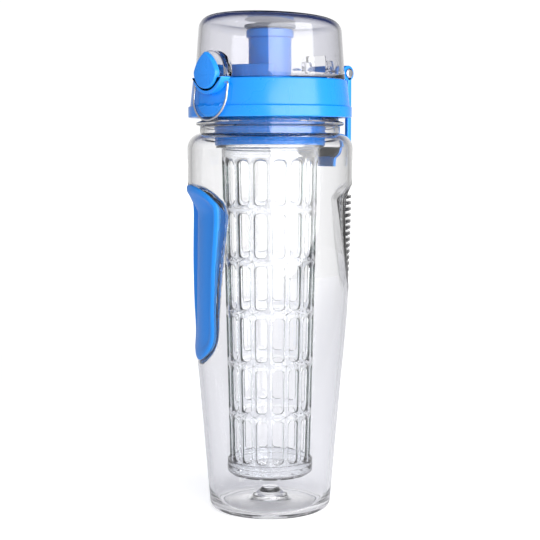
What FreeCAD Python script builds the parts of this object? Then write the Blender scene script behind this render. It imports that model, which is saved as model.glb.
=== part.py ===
import FreeCAD, Part
import math
import os
import Sketcher

# A fruit-infuser sports bottle with a flip-top lid, in millimetres.
# Z is up and the origin is the centre of the base. The latch is at -Y and the cover's hinge at +Y.

SIZES = [
    # the clear bottle
    ("base_ring_inner", 26.0, "inner edge of the ring that the bottle stands on"),
    ("base_ring_outer", 29.0, "outer edge of that ring"),
    ("base_edge_radius", 32.4, "radius just above the rounded base edge"),
    ("base_edge_top", 3.0, "height of that place"),
    ("belly_radius", 37.9, "radius where the straight flank ends"),
    ("belly_height", 70.0, "height of that place"),
    ("body_radius", 43.5, "widest radius"),
    ("body_full_height", 173.0, "height where the widest radius starts"),
    ("flank_radius", 951.0, "radius of the flank's long arc"),
    ("shoulder_start", 192.0, "height where the shoulder starts to turn in"),
    ("shoulder_end", 199.9, "height where the shoulder meets the neck"),
    ("shoulder_bend", 8.0, "radius of the shoulder"),
    ("neck_radius", 36.9, "outer radius of the neck"),
    ("bead_radius", 38.9, "radius of the bead under the thread"),
    ("bead_low", 203.3, "bottom of the bead"),
    ("bead_high", 206.3, "top of the bead"),
    ("thread_root", 36.2, "radius between the thread's ridges"),
    ("thread_crest", 37.4, "radius of the thread's ridges"),
    ("lip_height", 222.0, "height of the bottle's lip"),
    ("wall", 2.2, "wall of the bottle"),
    ("punt_height", 3.4, "how far the base rises in its middle, outside"),
    ("nub_radius", 5.7, "top radius of the moulded nub inside the base"),
    ("nub_foot", 9.2, "radius of the nub's shoulder"),
    ("nub_top", 10.0, "height of the nub's top"),
    # the two recesses for the hand
    ("palm_angle", 240.0, "direction of the palm grip from +X"),
    ("palm_half_width", 26.5, "half width of the palm grip"),
    ("palm_low", 80.8, "bottom of the palm grip"),
    ("palm_high", 173.0, "top of the palm grip"),
    ("palm_floor", 36.8, "radius of the palm recess's floor"),
    ("palm_pad", 1.8, "thickness of the soft pad on that floor"),
    ("palm_lip", 2.2, "width of the pad's lip"),
    ("palm_proud", 0.6, "how far the lip stands out of the bottle"),
    ("ribs_angle", 46.0, "direction of the finger recess from +X"),
    ("ribs_half_width", 19.0, "half width of the finger recess"),
    ("ribs_low", 118.0, "bottom of the finger recess"),
    ("ribs_high", 174.0, "top of the finger recess"),
    ("ribs_floor", 36.0, "distance of its flat floor from the axis at the deepest place"),
    ("ribs_deepest", 166.0, "height of that place"),
    ("ribs_runout", 6.2, "how much further out the floor lies just below the finger recess"),
    ("ribs_pitch", 3.2, "from one finger rib to the next"),
    ("ribs_thick", 1.9, "height of one finger rib"),
    # the lid
    ("ring_low", 207.9, "bottom of the lid's skirt"),
    ("ring_step", 213.9, "top of the flange round the skirt's foot"),
    ("flange_radius", 43.0, "radius of that flange"),
    ("ring_foot_radius", 41.9, "radius of the skirt above the flange"),
    ("ring_top_radius", 40.3, "radius at the top of the skirt"),
    ("deck_high", 227.4, "top of the lid's deck"),
    ("deck_low", 223.5, "underside of the deck"),
    ("skirt_bore", 38.6, "inside radius of the skirt"),
    ("skirt_ridge", 37.9, "inside radius of the skirt's thread"),
    ("collar_radius", 29.05, "outer radius of the collar under the deck"),
    ("collar_bore", 26.95, "inner radius of that collar"),
    ("collar_low", 194.4, "bottom of that collar"),
    ("spout_radius", 11.25, "outer radius of the spout"),
    ("spout_bore", 9.2, "inner radius of the spout"),
    ("spout_rim_radius", 12.4, "radius of the spout's rolled rim"),
    ("spout_rim_low", 249.2, "bottom of that rim"),
    ("spout_high", 254.0, "top of the spout"),
    ("guard_radius", 29.0, "middle radius of the guard rib on the deck"),
    ("guard_thick", 3.0, "thickness of the guard rib"),
    ("guard_high", 234.4, "top of the guard rib"),
    ("guard_sweep", 98.0, "angle that the guard rib spans"),
    # the hinge
    ("hinge_y", 40.0, "Y of the hinge axis"),
    ("hinge_z", 232.0, "Z of the hinge axis"),
    ("pin_radius", 1.5, "radius of the hinge pin"),
    ("pin_head_radius", 2.6, "radius of the pin's heads"),
    ("knuckle_half", 7.0, "half length of the lid's knuckle"),
    ("knuckle_radius", 4.5, "radius of the knuckle"),
    ("ear_inner", 7.4, "inner face of the cover's ears"),
    ("ear_outer", 11.4, "outer face of the cover's ears"),
    ("ear_radius", 4.1, "radius of the ears and of the loop's eyelets"),
    ("spacer_radius", 2.2, "radius of the spacers on the pin"),
    ("eyelet_inner", 16.3, "inner face of the loop's eyelets"),
    ("eyelet_outer", 19.8, "outer face of the loop's eyelets"),
    ("pin_play", 0.3, "gap between the pin and what turns on it"),
    # the carry loop
    ("loop_inner_radius", 43.9, "inner radius of the loop's curved band"),
    ("loop_thick", 2.8, "thickness of that band"),
    ("loop_low", 182.0, "lowest point of the loop"),
    ("loop_band", 5.0, "height of the band at the bottom"),
    # the clear cover
    ("dome_low", 227.8, "bottom of the cover"),
    ("dome_foot_radius", 39.4, "outer radius at the bottom"),
    ("dome_draft", 2.6, "how much narrower the cover is at its full height"),
    ("dome_high", 259.6, "height of the cover's top over its axis"),
    ("dome_tilt", 2.7, "how far the top leans down toward the hinge, in degrees"),
    ("dome_wall", 2.0, "wall of the cover"),
    ("dome_bend", 7.0, "radius round the top edge"),
    ("window_high", 242.0, "top of the cover's window over the knuckle"),
    ("lug_radius", 11.0, "radius of the cover's front lug"),
    ("lug_centre", 230.0, "height of the lug's centre"),
    ("lug_face", 43.0, "how far forward the lug's face is"),
    ("seal_radius", 13.4, "radius of the spout seal"),
    # the latch
    ("pod_radius", 11.0, "radius of the latch housing"),
    ("pod_face", 45.2, "how far forward the housing's face is"),
    ("pod_high", 227.6, "top of the housing"),
    ("button_radius", 8.3, "radius of the button's round end"),
    ("button_centre", 230.1, "height of the centre of that end"),
    ("button_point", 240.2, "height of the button's point"),
    ("button_face", 46.7, "how far forward the button's face is"),
    ("button_back", 43.5, "how far forward the button's back is"),
    ("button_gap", 0.45, "gap round the button in its housing"),
    ("latch_y", 44.0, "how far forward the button's pin is"),
    ("latch_z", 226.0, "height of the button's pin"),
    ("latch_pin_radius", 0.8, "radius of that pin"),
    ("hub_radius", 2.0, "radius of the button's hub"),
    ("pocket_floor", 41.6, "how far forward the floor of the button's pocket is"),
    ("spring_wire", 0.25, "radius of the spring's wire"),
    ("spring_z", 222.8, "height of the spring's axis"),
    # the wire bail
    ("bail_half", 12.0, "half width of the bail"),
    ("bail_wire", 0.6, "radius of the wire"),
    ("bail_leg", 7.0, "length of the bail's straight legs"),
    ("bail_y", 41.5, "how far forward the bail's pivot is"),
    ("bail_z", 225.0, "height of the bail's pivot"),
    ("bail_lean", 9.1, "how far the resting bail leans out, in degrees"),
    ("pad_half", 10.6, "half width of the pad inside the bail"),
    ("pad_proud", 0.9, "how far that pad stands out of the ring"),
    # the infuser
    ("tube_top_radius", 25.6, "outer radius of the tube under the collar"),
    ("tube_low_radius", 21.4, "outer radius at its bottom"),
    ("tube_wall", 1.6, "wall of the tube"),
    ("tube_low", 20.4, "bottom of the tube"),
    ("tube_rim_low", 192.2, "bottom of the tube's rim"),
    ("tube_rim_high", 194.0, "top of the tube's rim"),
    ("tube_rim_radius", 28.6, "radius of that rim"),
    ("tube_plug_radius", 26.6, "radius of the threaded end inside the collar"),
    ("tube_high", 220.0, "top of the tube"),
    ("slot_width", 6.3, "width of a slot"),
    ("slot_length", 22.8, "length of a slot"),
    ("slot_pitch", 27.2, "from one row of slots to the next"),
    ("slot_top", 185.7, "top of the highest row"),
    ("cap_radius", 22.9, "outer radius of the end cap"),
    ("cap_low", 18.6, "bottom of the end cap"),
    ("cap_high", 26.0, "top of the end cap"),
]

SLOT_ROWS = 6
SLOTS_ROUND = 16
DRAIN_HOLES = 12
THREAD_RIDGES = 3
HUGE = 120.0  # longer than any wall that a cutter has to pass


class Size(float):
    """A length that remembers the sheet expression it comes from, so it can be bound as well as used."""

    def __new__(cls, number, text):
        size = super().__new__(cls, number)
        size.text = text
        return size

    def __add__(self, other):
        return joined(self, "+", other, float(self) + float(other))

    def __radd__(self, other):
        return joined(other, "+", self, float(other) + float(self))

    def __sub__(self, other):
        return joined(self, "-", other, float(self) - float(other))

    def __rsub__(self, other):
        return joined(other, "-", self, float(other) - float(self))

    def __mul__(self, other):
        return joined(self, "*", other, float(self) * float(other))

    def __rmul__(self, other):
        return joined(other, "*", self, float(other) * float(self))

    def __truediv__(self, other):
        return joined(self, "/", other, float(self) / float(other))

    def __neg__(self):
        return joined(0.0, "-", self, -float(self))


def written(value):
    """The sheet expression of a size, or a plain number written out."""
    return value.text if isinstance(value, Size) else f"{float(value):.9f}"


def joined(first, sign, second, number):
    return Size(number, f"({written(first)} {sign} {written(second)})")


def make_sheet():
    sheet = doc.addObject("Spreadsheet::Sheet", "sizes")
    for row, (name, value, note) in enumerate(SIZES, start=1):
        sheet.set(f"A{row}", name)
        sheet.set(f"B{row}", str(value))
        sheet.set(f"C{row}", note)
        sheet.setAlias(f"B{row}", name)
    doc.recompute()
    return {name: Size(value, f"sizes.{name}") for name, value, note in SIZES}


doc = FreeCAD.newDocument("InfuserBottle")
S = make_sheet()
nodes = []


# ---- tools for making one shape ----


def vector(x, y, z):
    return FreeCAD.Vector(float(x), float(y), float(z))


def bind(thing, sizes):
    """Sets each property from its size's sheet expression."""
    for prop, value in sizes.items():
        thing.setExpression(prop, written(value))
    return thing


def place(thing, x=0.0, y=0.0, z=0.0, rotation=None):
    """Turns the object, then binds where it stands."""
    thing.Placement = FreeCAD.Placement(vector(0, 0, 0), rotation or FreeCAD.Rotation())
    return bind(thing, {"Placement.Base.x": x, "Placement.Base.y": y, "Placement.Base.z": z})


ALONG_X = FreeCAD.Rotation(FreeCAD.Vector(0, 1, 0), 90)
ALONG_Y = FreeCAD.Rotation(FreeCAD.Vector(1, 0, 0), -90)


def rod(name, radius, length, x=0.0, y=0.0, z=0.0, rotation=None):
    """A cylinder that starts at x, y, z and runs up, or along the rotation."""
    return place(bind(doc.addObject("Part::Cylinder", name), {"Radius": radius, "Height": length}), x, y, z, rotation)


def block(name, x_low, x_high, y_low, y_high, z_low, z_high):
    sizes = {"Length": x_high - x_low, "Width": y_high - y_low, "Height": z_high - z_low}
    return place(bind(doc.addObject("Part::Box", name), sizes), x_low, y_low, z_low)


def fuse(name, shapes):
    joined_up = doc.addObject("Part::MultiFuse", name)
    joined_up.Shapes = shapes
    joined_up.Refine = False
    return joined_up


def common(name, shapes):
    shared = doc.addObject("Part::MultiCommon", name)
    shared.Shapes = shapes
    return shared


def cut(name, base, tool):
    rest = doc.addObject("Part::Cut", name)
    rest.Base = base
    rest.Tool = tool
    rest.Refine = False
    return rest


def origin_plane(body, role):
    return next(feature for feature in body.Origin.OriginFeatures if feature.Role == role)


def bulge_point(start, end, radius):
    """The middle of the arc of that radius from start to end; a negative radius bulges to the other side."""
    chord = end - start
    half = chord.Length / 2
    rise = abs(float(radius)) - math.sqrt(max(float(radius) ** 2 - half ** 2, 0.0))
    side = FreeCAD.Vector(chord.y, -chord.x, 0).normalize()
    return (start + end) * 0.5 + side * math.copysign(rise, float(radius))


def hold_point(sketch, index, place_on_line, corner):
    """Holds one end of a sketch line at a corner whose two numbers come from the sheet."""
    for axis, kind, value in ((-2, "DistanceX", corner[0]), (-1, "DistanceY", corner[1])):
        if float(value) == 0.0:
            sketch.addConstraint(Sketcher.Constraint("PointOnObject", index, place_on_line, axis))
            continue
        row = sketch.addConstraint(Sketcher.Constraint(kind, -1, 1, index, place_on_line, float(value)))
        sketch.setExpression(f"Constraints[{row}]", written(value))


def draw_outline(sketch, corners, arcs=None):
    """A closed outline through the corners; arcs gives the radius of each side that is round."""
    arcs = arcs or {}
    points = [FreeCAD.Vector(float(a), float(b), 0) for a, b in corners]
    first = sketch.GeometryCount
    starts = []
    for side, start in enumerate(points):
        end = points[(side + 1) % len(points)]
        if side in arcs:
            index = sketch.addGeometry(Part.Arc(start, bulge_point(start, end, arcs[side]), end), False)
            radius = arcs[side] if arcs[side] > 0 else -arcs[side]
            if radius > (end - start).Length / 2 + 0.01:  # a half circle is held by its ends alone
                row = sketch.addConstraint(Sketcher.Constraint("Radius", index, float(radius)))
                sketch.setExpression(f"Constraints[{row}]", written(radius))
        else:
            index = sketch.addGeometry(Part.LineSegment(start, end), False)
        starts.append(1 if sketch.getPoint(index, 1).distanceToPoint(start) < 1e-6 else 2)
    for side, corner in enumerate(corners):
        before = (side - 1) % len(corners)
        sketch.addConstraint(
            Sketcher.Constraint("Coincident", first + before, 3 - starts[before], first + side, starts[side])
        )
        hold_point(sketch, first + side, starts[side], corner)


def sketch_on(body, name, role):
    sketch = body.newObject("Sketcher::SketchObject", name)
    sketch.AttachmentSupport = [(origin_plane(body, role), "")]
    sketch.MapMode = "FlatFace"
    return sketch


def turned(name, corners, arcs=None):
    """A body turned about Z from an outline of radius and height."""
    body = doc.addObject("PartDesign::Body", name)
    sketch = sketch_on(body, f"{name}_outline", "XZ_Plane")
    draw_outline(sketch, corners, arcs)
    turn = body.newObject("PartDesign::Revolution", f"{name}_turn")
    turn.Profile = sketch
    turn.ReferenceAxis = (sketch, ["V_Axis"])
    turn.Angle = 360
    return body


def plate(name, corners, arcs, back, front):
    """A plate drawn facing the front, from back to front millimetres forward of the axis."""
    body = doc.addObject("PartDesign::Body", name)
    sketch = sketch_on(body, f"{name}_outline", "XZ_Plane")
    draw_outline(sketch, corners, arcs)
    pad = body.newObject("PartDesign::Pad", f"{name}_pad")
    pad.Profile = sketch
    bind(pad, {"Length": front - back})
    return place(body, y=-back)


def across(name, corners, angle):
    """A prism from an outline of distance and height, run to both sides of the direction of angle."""
    body = doc.addObject("PartDesign::Body", name)
    sketch = sketch_on(body, f"{name}_outline", "XZ_Plane")
    draw_outline(sketch, corners)
    pad = body.newObject("PartDesign::Pad", f"{name}_pad")
    pad.Profile = sketch
    pad.Midplane = True
    pad.Length = HUGE
    turn = FreeCAD.Rotation(FreeCAD.Vector(0, 0, 1), float(angle))
    body.Placement = FreeCAD.Placement(vector(0, 0, 0), turn)
    return body


def tube(name, outer, inner, low, high):
    return turned(name, [(inner, low), (outer, low), (outer, high), (inner, high)])


def window(name, outline, angle, grow=0.0):
    """A radial prism through the wall. The outline lists half widths and heights from bottom to top."""
    middle = (outline[0][1] + outline[-1][1]) / 2
    reach = (outline[-1][1] - outline[0][1]) / 2

    def grown(u, z):
        away = math.hypot(u, z - middle)
        return FreeCAD.Vector(HUGE / 4, u * (1 + grow / away), z + (z - middle) * grow / reach)

    right = [grown(float(u), float(z)) for u, z in outline]
    left = [FreeCAD.Vector(p.x, -p.y, p.z) for p in reversed(right[1:-1])]
    curve = Part.BSplineCurve()
    curve.interpolate(Points=right + left, PeriodicFlag=True)
    prism = Part.Face(Part.Wire(curve.toShape())).extrude(FreeCAD.Vector(HUGE / 4, 0, 0))
    prism.translate(FreeCAD.Vector(-10, 0, 0))
    feature = doc.addObject("Part::Feature", name)
    feature.Shape = prism
    feature.Placement = FreeCAD.Placement(vector(0, 0, 0), FreeCAD.Rotation(FreeCAD.Vector(0, 0, 1), float(angle)))
    return feature


def keep(thing, label):
    """Marks an object as a finished piece of the bottle."""
    thing.Label = label
    nodes.append(thing)
    return thing


# ---- the clear bottle and its grips ----


def body_outline(grow=0.0):
    """The outside of the bottle as a solid's outline, from the axis at the base round to the axis at the lip."""
    return (
        [
            (0.0, S["punt_height"] - grow),
            (S["base_ring_inner"] - 1.0, 0.6 - grow),
            (S["base_ring_inner"], 0.0 - grow),
            (S["base_ring_outer"], 0.0 - grow),
            (S["base_edge_radius"] + grow, S["base_edge_top"]),
            (S["belly_radius"] + grow, S["belly_height"]),
            (S["body_radius"] + grow, S["body_full_height"]),
            (S["body_radius"] + grow, S["shoulder_start"]),
            (S["neck_radius"] + grow, S["shoulder_end"] + grow),
            (S["neck_radius"] + grow, S["bead_low"]),
            (S["bead_radius"] + grow, S["bead_low"] + 0.8),
            (S["bead_radius"] + grow, S["bead_high"] - 0.8),
            (S["thread_root"] + grow, S["bead_high"]),
            (S["thread_root"] + grow, S["lip_height"]),
            (0.0, S["lip_height"]),
        ],
        {3: S["base_edge_top"] * 1.15, 5: S["flank_radius"], 7: S["shoulder_bend"] + grow},
    )


def cavity_outline():
    """The inside of the bottle, one wall in from the outside, over a coned floor with a stepped nub."""
    wall = S["wall"]
    return (
        [
            (0.0, S["nub_top"]),
            (S["nub_radius"] - 1.5, S["nub_top"]),
            (S["nub_radius"], S["nub_top"] - 1.5),
            (S["nub_foot"] - 1.6, S["punt_height"] + 3.4),
            (S["nub_foot"], S["punt_height"] + 3.0),
            (S["nub_foot"] + 0.4, S["punt_height"] + 1.4),
            (S["base_ring_inner"] - 1.0, wall),
            (S["base_ring_outer"] - 1.0, wall),
            (S["base_edge_radius"] - wall + 0.3, S["base_edge_top"] + 2.2),
            (S["belly_radius"] - wall, S["belly_height"]),
            (S["body_radius"] - wall, S["body_full_height"]),
            (S["body_radius"] - wall, S["shoulder_start"]),
            (S["neck_radius"] - wall, S["shoulder_end"] - wall + 0.3),
            (S["neck_radius"] - wall, S["bead_high"]),
            (S["thread_root"] - wall, S["bead_high"] + 1.5),
            (S["thread_root"] - wall, S["lip_height"] + 1.0),
            (0.0, S["lip_height"] + 1.0),
        ],
        {9: S["flank_radius"], 11: S["shoulder_bend"] - wall + 0.4},
    )


def palm_outline():
    width, low, high = S["palm_half_width"], S["palm_low"], S["palm_high"]
    return [
        (0.0, low),
        (width * 0.44, low + 4),
        (width * 0.72, low + 12),
        (width * 0.80, low + 28),
        (width * 0.88, low + 47),
        (width, high - 15),
        (width * 0.88, high - 7),
        (width * 0.5, high - 1.5),
        (0.0, high),
    ]


def ribs_outline():
    width, low, high = S["ribs_half_width"], S["ribs_low"], S["ribs_high"]
    return [
        (0.0, low),
        (width * 0.6, low + 6),
        (width * 0.9, low + 22),
        (width, high - 14),
        (width * 0.8, high - 4),
        (0.0, high),
    ]


def palm_floor(name, lift):
    """What stays under the palm recess's floor, raised by lift."""
    floor = S["palm_floor"] + lift
    return turned(
        name,
        [
            (0.0, S["palm_low"] - 6),
            (floor + 1.6, S["palm_low"] - 6),
            (floor + 0.5, S["palm_low"] + 12),
            (floor - 0.5, S["palm_high"] - 14),
            (S["body_radius"] + lift + 0.4, S["palm_high"]),
            (S["body_radius"] + lift + 0.4, S["palm_high"] + 6),
            (0.0, S["palm_high"] + 6),
        ],
    )


def ribs_floor(name, lift):
    """What stays under the finger recess's flat floor, raised by lift. It fades out at the bottom."""
    floor = S["ribs_floor"] + lift
    return across(
        name,
        [
            (0.0, S["ribs_low"] - 6),
            (floor + S["ribs_runout"], S["ribs_low"] - 6),
            (floor, S["ribs_deepest"]),
            (S["body_radius"] + lift + 0.4, S["ribs_high"]),
            (S["body_radius"] + lift + 0.4, S["ribs_high"] + 6),
            (0.0, S["ribs_high"] + 6),
        ],
        S["ribs_angle"],
    )


def bottle_threads():
    """Ridges round the neck. They are level rings, so that the lid can lift straight off."""
    rings = []
    for ridge in range(THREAD_RIDGES):
        low = S["lip_height"] - 11.5 + 3.6 * ridge
        rings.append(
            turned(
                f"neck_ridge_{ridge}",
                [
                    (S["thread_root"] - 0.5, low),
                    (S["thread_root"], low),
                    (S["thread_crest"], low + 0.6),
                    (S["thread_crest"], low + 1.2),
                    (S["thread_root"], low + 1.8),
                    (S["thread_root"] - 0.5, low + 1.8),
                ],
            )
        )
    return rings


def make_bottle():
    wall = S["wall"]
    hollows = [
        cut("palm_hollow", window("palm_window", palm_outline(), S["palm_angle"]), palm_floor("palm_base", 0.0)),
        cut("ribs_hollow", window("ribs_window", ribs_outline(), S["ribs_angle"]), ribs_floor("ribs_base", 0.0)),
    ]
    dents = [
        cut(
            "palm_dent",
            window("palm_dent_window", palm_outline(), S["palm_angle"], wall),
            palm_floor("palm_dent_base", -wall),
        ),
        cut(
            "ribs_dent",
            window("ribs_dent_window", ribs_outline(), S["ribs_angle"], wall),
            ribs_floor("ribs_dent_base", -wall),
        ),
    ]
    outside = cut("bottle_outside", turned("bottle_block", *body_outline()), fuse("hollows", hollows))
    inside = cut("bottle_inside", turned("bottle_cavity", *cavity_outline()), fuse("dents", dents))
    shell = cut("bottle_shell", outside, inside)
    keep(fuse("bottle_with_thread", [shell] + bottle_threads()), "bottle_body")


def make_palm_grip():
    """A soft pad on the recess's floor, with a lip round its edge that stands a little out of the bottle."""
    lip_inside = window("palm_lip_window", palm_outline(), S["palm_angle"], -S["palm_lip"])
    pad = cut(
        "palm_pad",
        common("palm_pad_block", [window("palm_pad_window", palm_outline(), S["palm_angle"], -0.05),
                                  palm_floor("palm_pad_top", S["palm_pad"])]),
        palm_floor("palm_pad_base", 0.05),
    )
    lip_block = common(
        "palm_lip_block",
        [
            window("palm_lip_outer", palm_outline(), S["palm_angle"], -0.05),
            turned("palm_lip_skin", *body_outline(S["palm_proud"])),
        ],
    )
    lip = cut("palm_lip", lip_block, fuse("palm_lip_tools", [lip_inside, palm_floor("palm_lip_base", 0.05)]))
    keep(fuse("palm_grip_solid", [pad, lip]), "palm_grip")


def make_finger_ribs():
    """Level ribs on a thin backing in the finger recess."""
    slabs = [ribs_floor("ribs_backing_top", 0.8)]
    low = S["ribs_low"] + 3.0
    for rib in range(15):
        height = low + S["ribs_pitch"] * rib
        slabs.append(block(f"rib_{rib}", -HUGE / 2, HUGE / 2, -HUGE / 2, HUGE / 2, height, height + S["ribs_thick"]))
    within = common(
        "ribs_block",
        [
            window("ribs_inner_window", ribs_outline(), S["ribs_angle"], -0.6),
            fuse("ribs_and_backing", slabs),
            turned("ribs_skin", *body_outline(-0.4)),
        ],
    )
    keep(cut("finger_ribs_solid", within, ribs_floor("ribs_under", 0.05)), "finger_ribs")


# ---- the lid ----


def lid_ring_outline():
    return [
        (S["spout_radius"], S["deck_low"]),
        (S["skirt_bore"], S["deck_low"]),
        (S["skirt_bore"], S["ring_low"]),
        (S["flange_radius"], S["ring_low"]),
        (S["flange_radius"], S["ring_step"] - 0.8),
        (S["ring_foot_radius"] + 0.2, S["ring_step"]),
        (S["ring_foot_radius"], S["ring_step"]),
        (S["ring_top_radius"], S["deck_high"] - 0.8),
        (S["ring_top_radius"] - 0.8, S["deck_high"]),
        (S["spout_radius"], S["deck_high"]),
    ]


def skirt_threads():
    """Ridges inside the skirt, just wider than the neck's, so that they pass as the lid lifts off."""
    rings = []
    for ridge in range(THREAD_RIDGES):
        low = S["lip_height"] - 13.3 + 3.6 * ridge
        rings.append(
            turned(
                f"skirt_ridge_{ridge}",
                [
                    (S["skirt_bore"] + 0.5, low),
                    (S["skirt_bore"], low),
                    (S["skirt_ridge"], low + 0.5),
                    (S["skirt_ridge"], low + 1.0),
                    (S["skirt_bore"], low + 1.5),
                    (S["skirt_bore"] + 0.5, low + 1.5),
                ],
            )
        )
    return rings


def make_guard_rib():
    """A low wall on the deck behind the latch, with a boss in its middle."""
    outer = S["guard_radius"] + S["guard_thick"] / 2
    inner = S["guard_radius"] - S["guard_thick"] / 2
    turn = FreeCAD.Rotation(FreeCAD.Vector(0, 0, 1), 270 - float(S["guard_sweep"]) / 2)
    low, height = S["deck_high"] - 0.5, S["guard_high"] - S["deck_high"] + 0.5
    sector = bind(rod("guard_outer", outer, height, z=low, rotation=turn), {"Angle": S["guard_sweep"]})
    rib = cut("guard_wall", sector, rod("guard_inner", inner, height + 2.0, z=low - 1.0))
    boss = block("guard_boss", -3.6, 3.6, -outer - 0.6, -inner + 0.6, low, S["guard_high"] - 1.0)
    return [rib, boss]


def make_knuckle():
    half, radius = S["knuckle_half"], S["knuckle_radius"]
    barrel = rod("knuckle_barrel", radius, half * 2, x=-half, y=S["hinge_y"], z=S["hinge_z"], rotation=ALONG_X)
    foot = block(
        "knuckle_foot", -half, half, S["hinge_y"] - radius + 0.7, S["hinge_y"] + radius - 1.2,
        S["deck_high"] - 1.5, S["hinge_z"],
    )
    return [barrel, foot]


def make_pod():
    """The latch housing: a round boss on the ring's front, flat on top."""
    disc = rod("pod_disc", S["pod_radius"], S["pod_face"] - S["skirt_bore"], y=-S["pod_face"],
               z=S["lug_centre"], rotation=ALONG_Y)
    slab = block("pod_slab", -S["pod_radius"] - 1, S["pod_radius"] + 1, -S["pod_face"] - 1, -S["skirt_bore"],
                 S["lug_centre"] - S["pod_radius"] - 1, S["pod_high"])
    return cut("pod", common("pod_block", [disc, slab]), rod("pod_hollow", S["skirt_bore"] + 0.4, 40.0, z=210.0))


def make_bail_pad():
    """A thin raised pad on the ring that fits inside the resting bail."""
    half = S["pad_half"]
    low = S["ring_low"] + half
    prism = plate("bail_pad_prism", [(half, low), (half, S["bail_z"]), (-half, S["bail_z"]), (-half, low)],
                  {3: half}, S["skirt_bore"], S["flange_radius"] + 3)
    outline = [
        (S["skirt_bore"] + 0.4, S["ring_low"]),
        (S["flange_radius"] + S["pad_proud"], S["ring_low"]),
        (S["flange_radius"] + S["pad_proud"], S["ring_step"]),
        (S["ring_top_radius"] + S["pad_proud"], S["deck_high"] - 1.0),
        (S["skirt_bore"] + 0.4, S["deck_high"] - 1.0),
    ]
    return common("bail_pad", [prism, turned("bail_pad_skin", outline)])


def button_corners(gap=0.0):
    radius = S["button_radius"] + gap
    return [(radius, S["button_centre"]), (0.0, S["button_point"] + gap), (-radius, S["button_centre"])]


BUTTON_ARCS = {0: 17.0, 1: 17.0}


def make_lid():
    shell = turned("lid_ring", lid_ring_outline())
    for piece in [make_pod(), make_bail_pad()] + skirt_threads() + make_guard_rib() + make_knuckle():
        shell = fuse(f"lid_with_{piece.Name}", [shell, piece])
    arcs = dict(BUTTON_ARCS)
    arcs[2] = S["button_radius"] + S["button_gap"]
    cutters = [
        plate("button_pocket", button_corners(S["button_gap"]), arcs, S["pocket_floor"], S["button_face"] + 2),
        rod("latch_bore", S["latch_pin_radius"], 20.4, x=-10.2, y=-S["latch_y"], z=S["latch_z"], rotation=ALONG_X),
        rod("knuckle_bore", S["pin_radius"], 20.0, x=-10.0, y=S["hinge_y"], z=S["hinge_z"], rotation=ALONG_X),
        rod("vent_bore", 2.0, 8.0, y=20.0, z=S["deck_low"] - 2),
    ]
    for side in (-1, 1):
        cutters.append(
            rod(f"bail_bore_{side + 1}", S["bail_wire"] + 0.3, 3.0, x=side * 9.8 - 1.5, y=-S["bail_y"],
                z=S["bail_z"], rotation=ALONG_X)
        )
    for cutter in cutters:
        shell = cut(f"lid_less_{cutter.Name}", shell, cutter)
    keep(shell, "lid_shell")


def make_inner_collar():
    """The threaded collar that the infuser hangs from, with three grip rings round its outside."""
    outer, inner, low = S["collar_radius"], S["collar_bore"], S["collar_low"]
    collar = tube("collar_tube", outer, inner, low, S["deck_low"])
    rings = [tube(f"collar_ring_{k}", outer + 0.5, inner + 0.3, low + 2.0 + 3.2 * k, low + 3.2 + 3.2 * k)
             for k in range(3)]
    keep(fuse("inner_collar_solid", [collar] + rings), "inner_collar")


def make_spout():
    """The drinking spout, held by a flange under the deck."""
    bore, radius, rim = S["spout_bore"], S["spout_radius"], S["spout_rim_radius"]
    keep(
        turned(
            "spout_solid",
            [
                (bore, S["deck_low"] - 2.0),
                (radius + 2.2, S["deck_low"] - 2.0),
                (radius + 2.2, S["deck_low"]),
                (radius, S["deck_low"]),
                (radius, S["spout_rim_low"]),
                (rim, S["spout_rim_low"] + 0.4),
                (rim, S["spout_high"] - 1.0),
                (rim - 1.0, S["spout_high"]),
                (bore, S["spout_high"]),
            ],
        ),
        "spout",
    )


def make_neck_gasket():
    keep(tube("neck_gasket_solid", S["thread_root"] + 1.0, S["thread_root"] - S["wall"] - 0.6,
              S["lip_height"] + 0.35, S["deck_low"]), "neck_gasket")


def make_vent_valve():
    stem = rod("vent_stem", 2.0, S["deck_high"] - S["deck_low"] + 1.0, y=20.0, z=S["deck_low"] - 1.0)
    head = rod("vent_head", 3.4, 1.2, y=20.0, z=S["deck_high"])
    barb = rod("vent_barb", 2.8, 1.0, y=20.0, z=S["deck_low"] - 1.0)
    keep(fuse("vent_valve_solid", [stem, head, barb]), "vent_valve")


# ---- the clear cover ----


def cover_solid(name, inset):
    """The cover's outside, or with an inset its inside: a drafted drum with a leaning top and a round edge."""
    low = S["dome_low"] - (1.0 if inset else 0.0)
    drum = bind(
        doc.addObject("Part::Cone", f"{name}_drum"),
        {
            "Radius1": S["dome_foot_radius"] - inset,
            "Radius2": S["dome_foot_radius"] - S["dome_draft"] - inset,
            "Height": S["dome_high"] - low + 4.0,
        },
    )
    place(drum, z=low)
    lean = FreeCAD.Rotation(FreeCAD.Vector(1, 0, 0), -float(S["dome_tilt"]))
    saw = bind(doc.addObject("Part::Box", f"{name}_saw"), {"Length": HUGE, "Width": HUGE, "Height": 20.0})
    corner = lean.multVec(FreeCAD.Vector(-HUGE / 2, -HUGE / 2, 0))
    place(saw, x=corner.x, y=corner.y, z=S["dome_high"] - inset + corner.z, rotation=lean)
    sawn = cut(f"{name}_sawn", drum, saw)
    doc.recompute()
    edges = sawn.Shape.Edges
    top = max(range(len(edges)), key=lambda k: edges[k].BoundBox.ZMin)
    rounded = doc.addObject("Part::Fillet", name)
    rounded.Base = sawn
    bend = float(S["dome_bend"] - inset)
    rounded.Edges = [(top + 1, bend, bend)]
    return rounded


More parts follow.
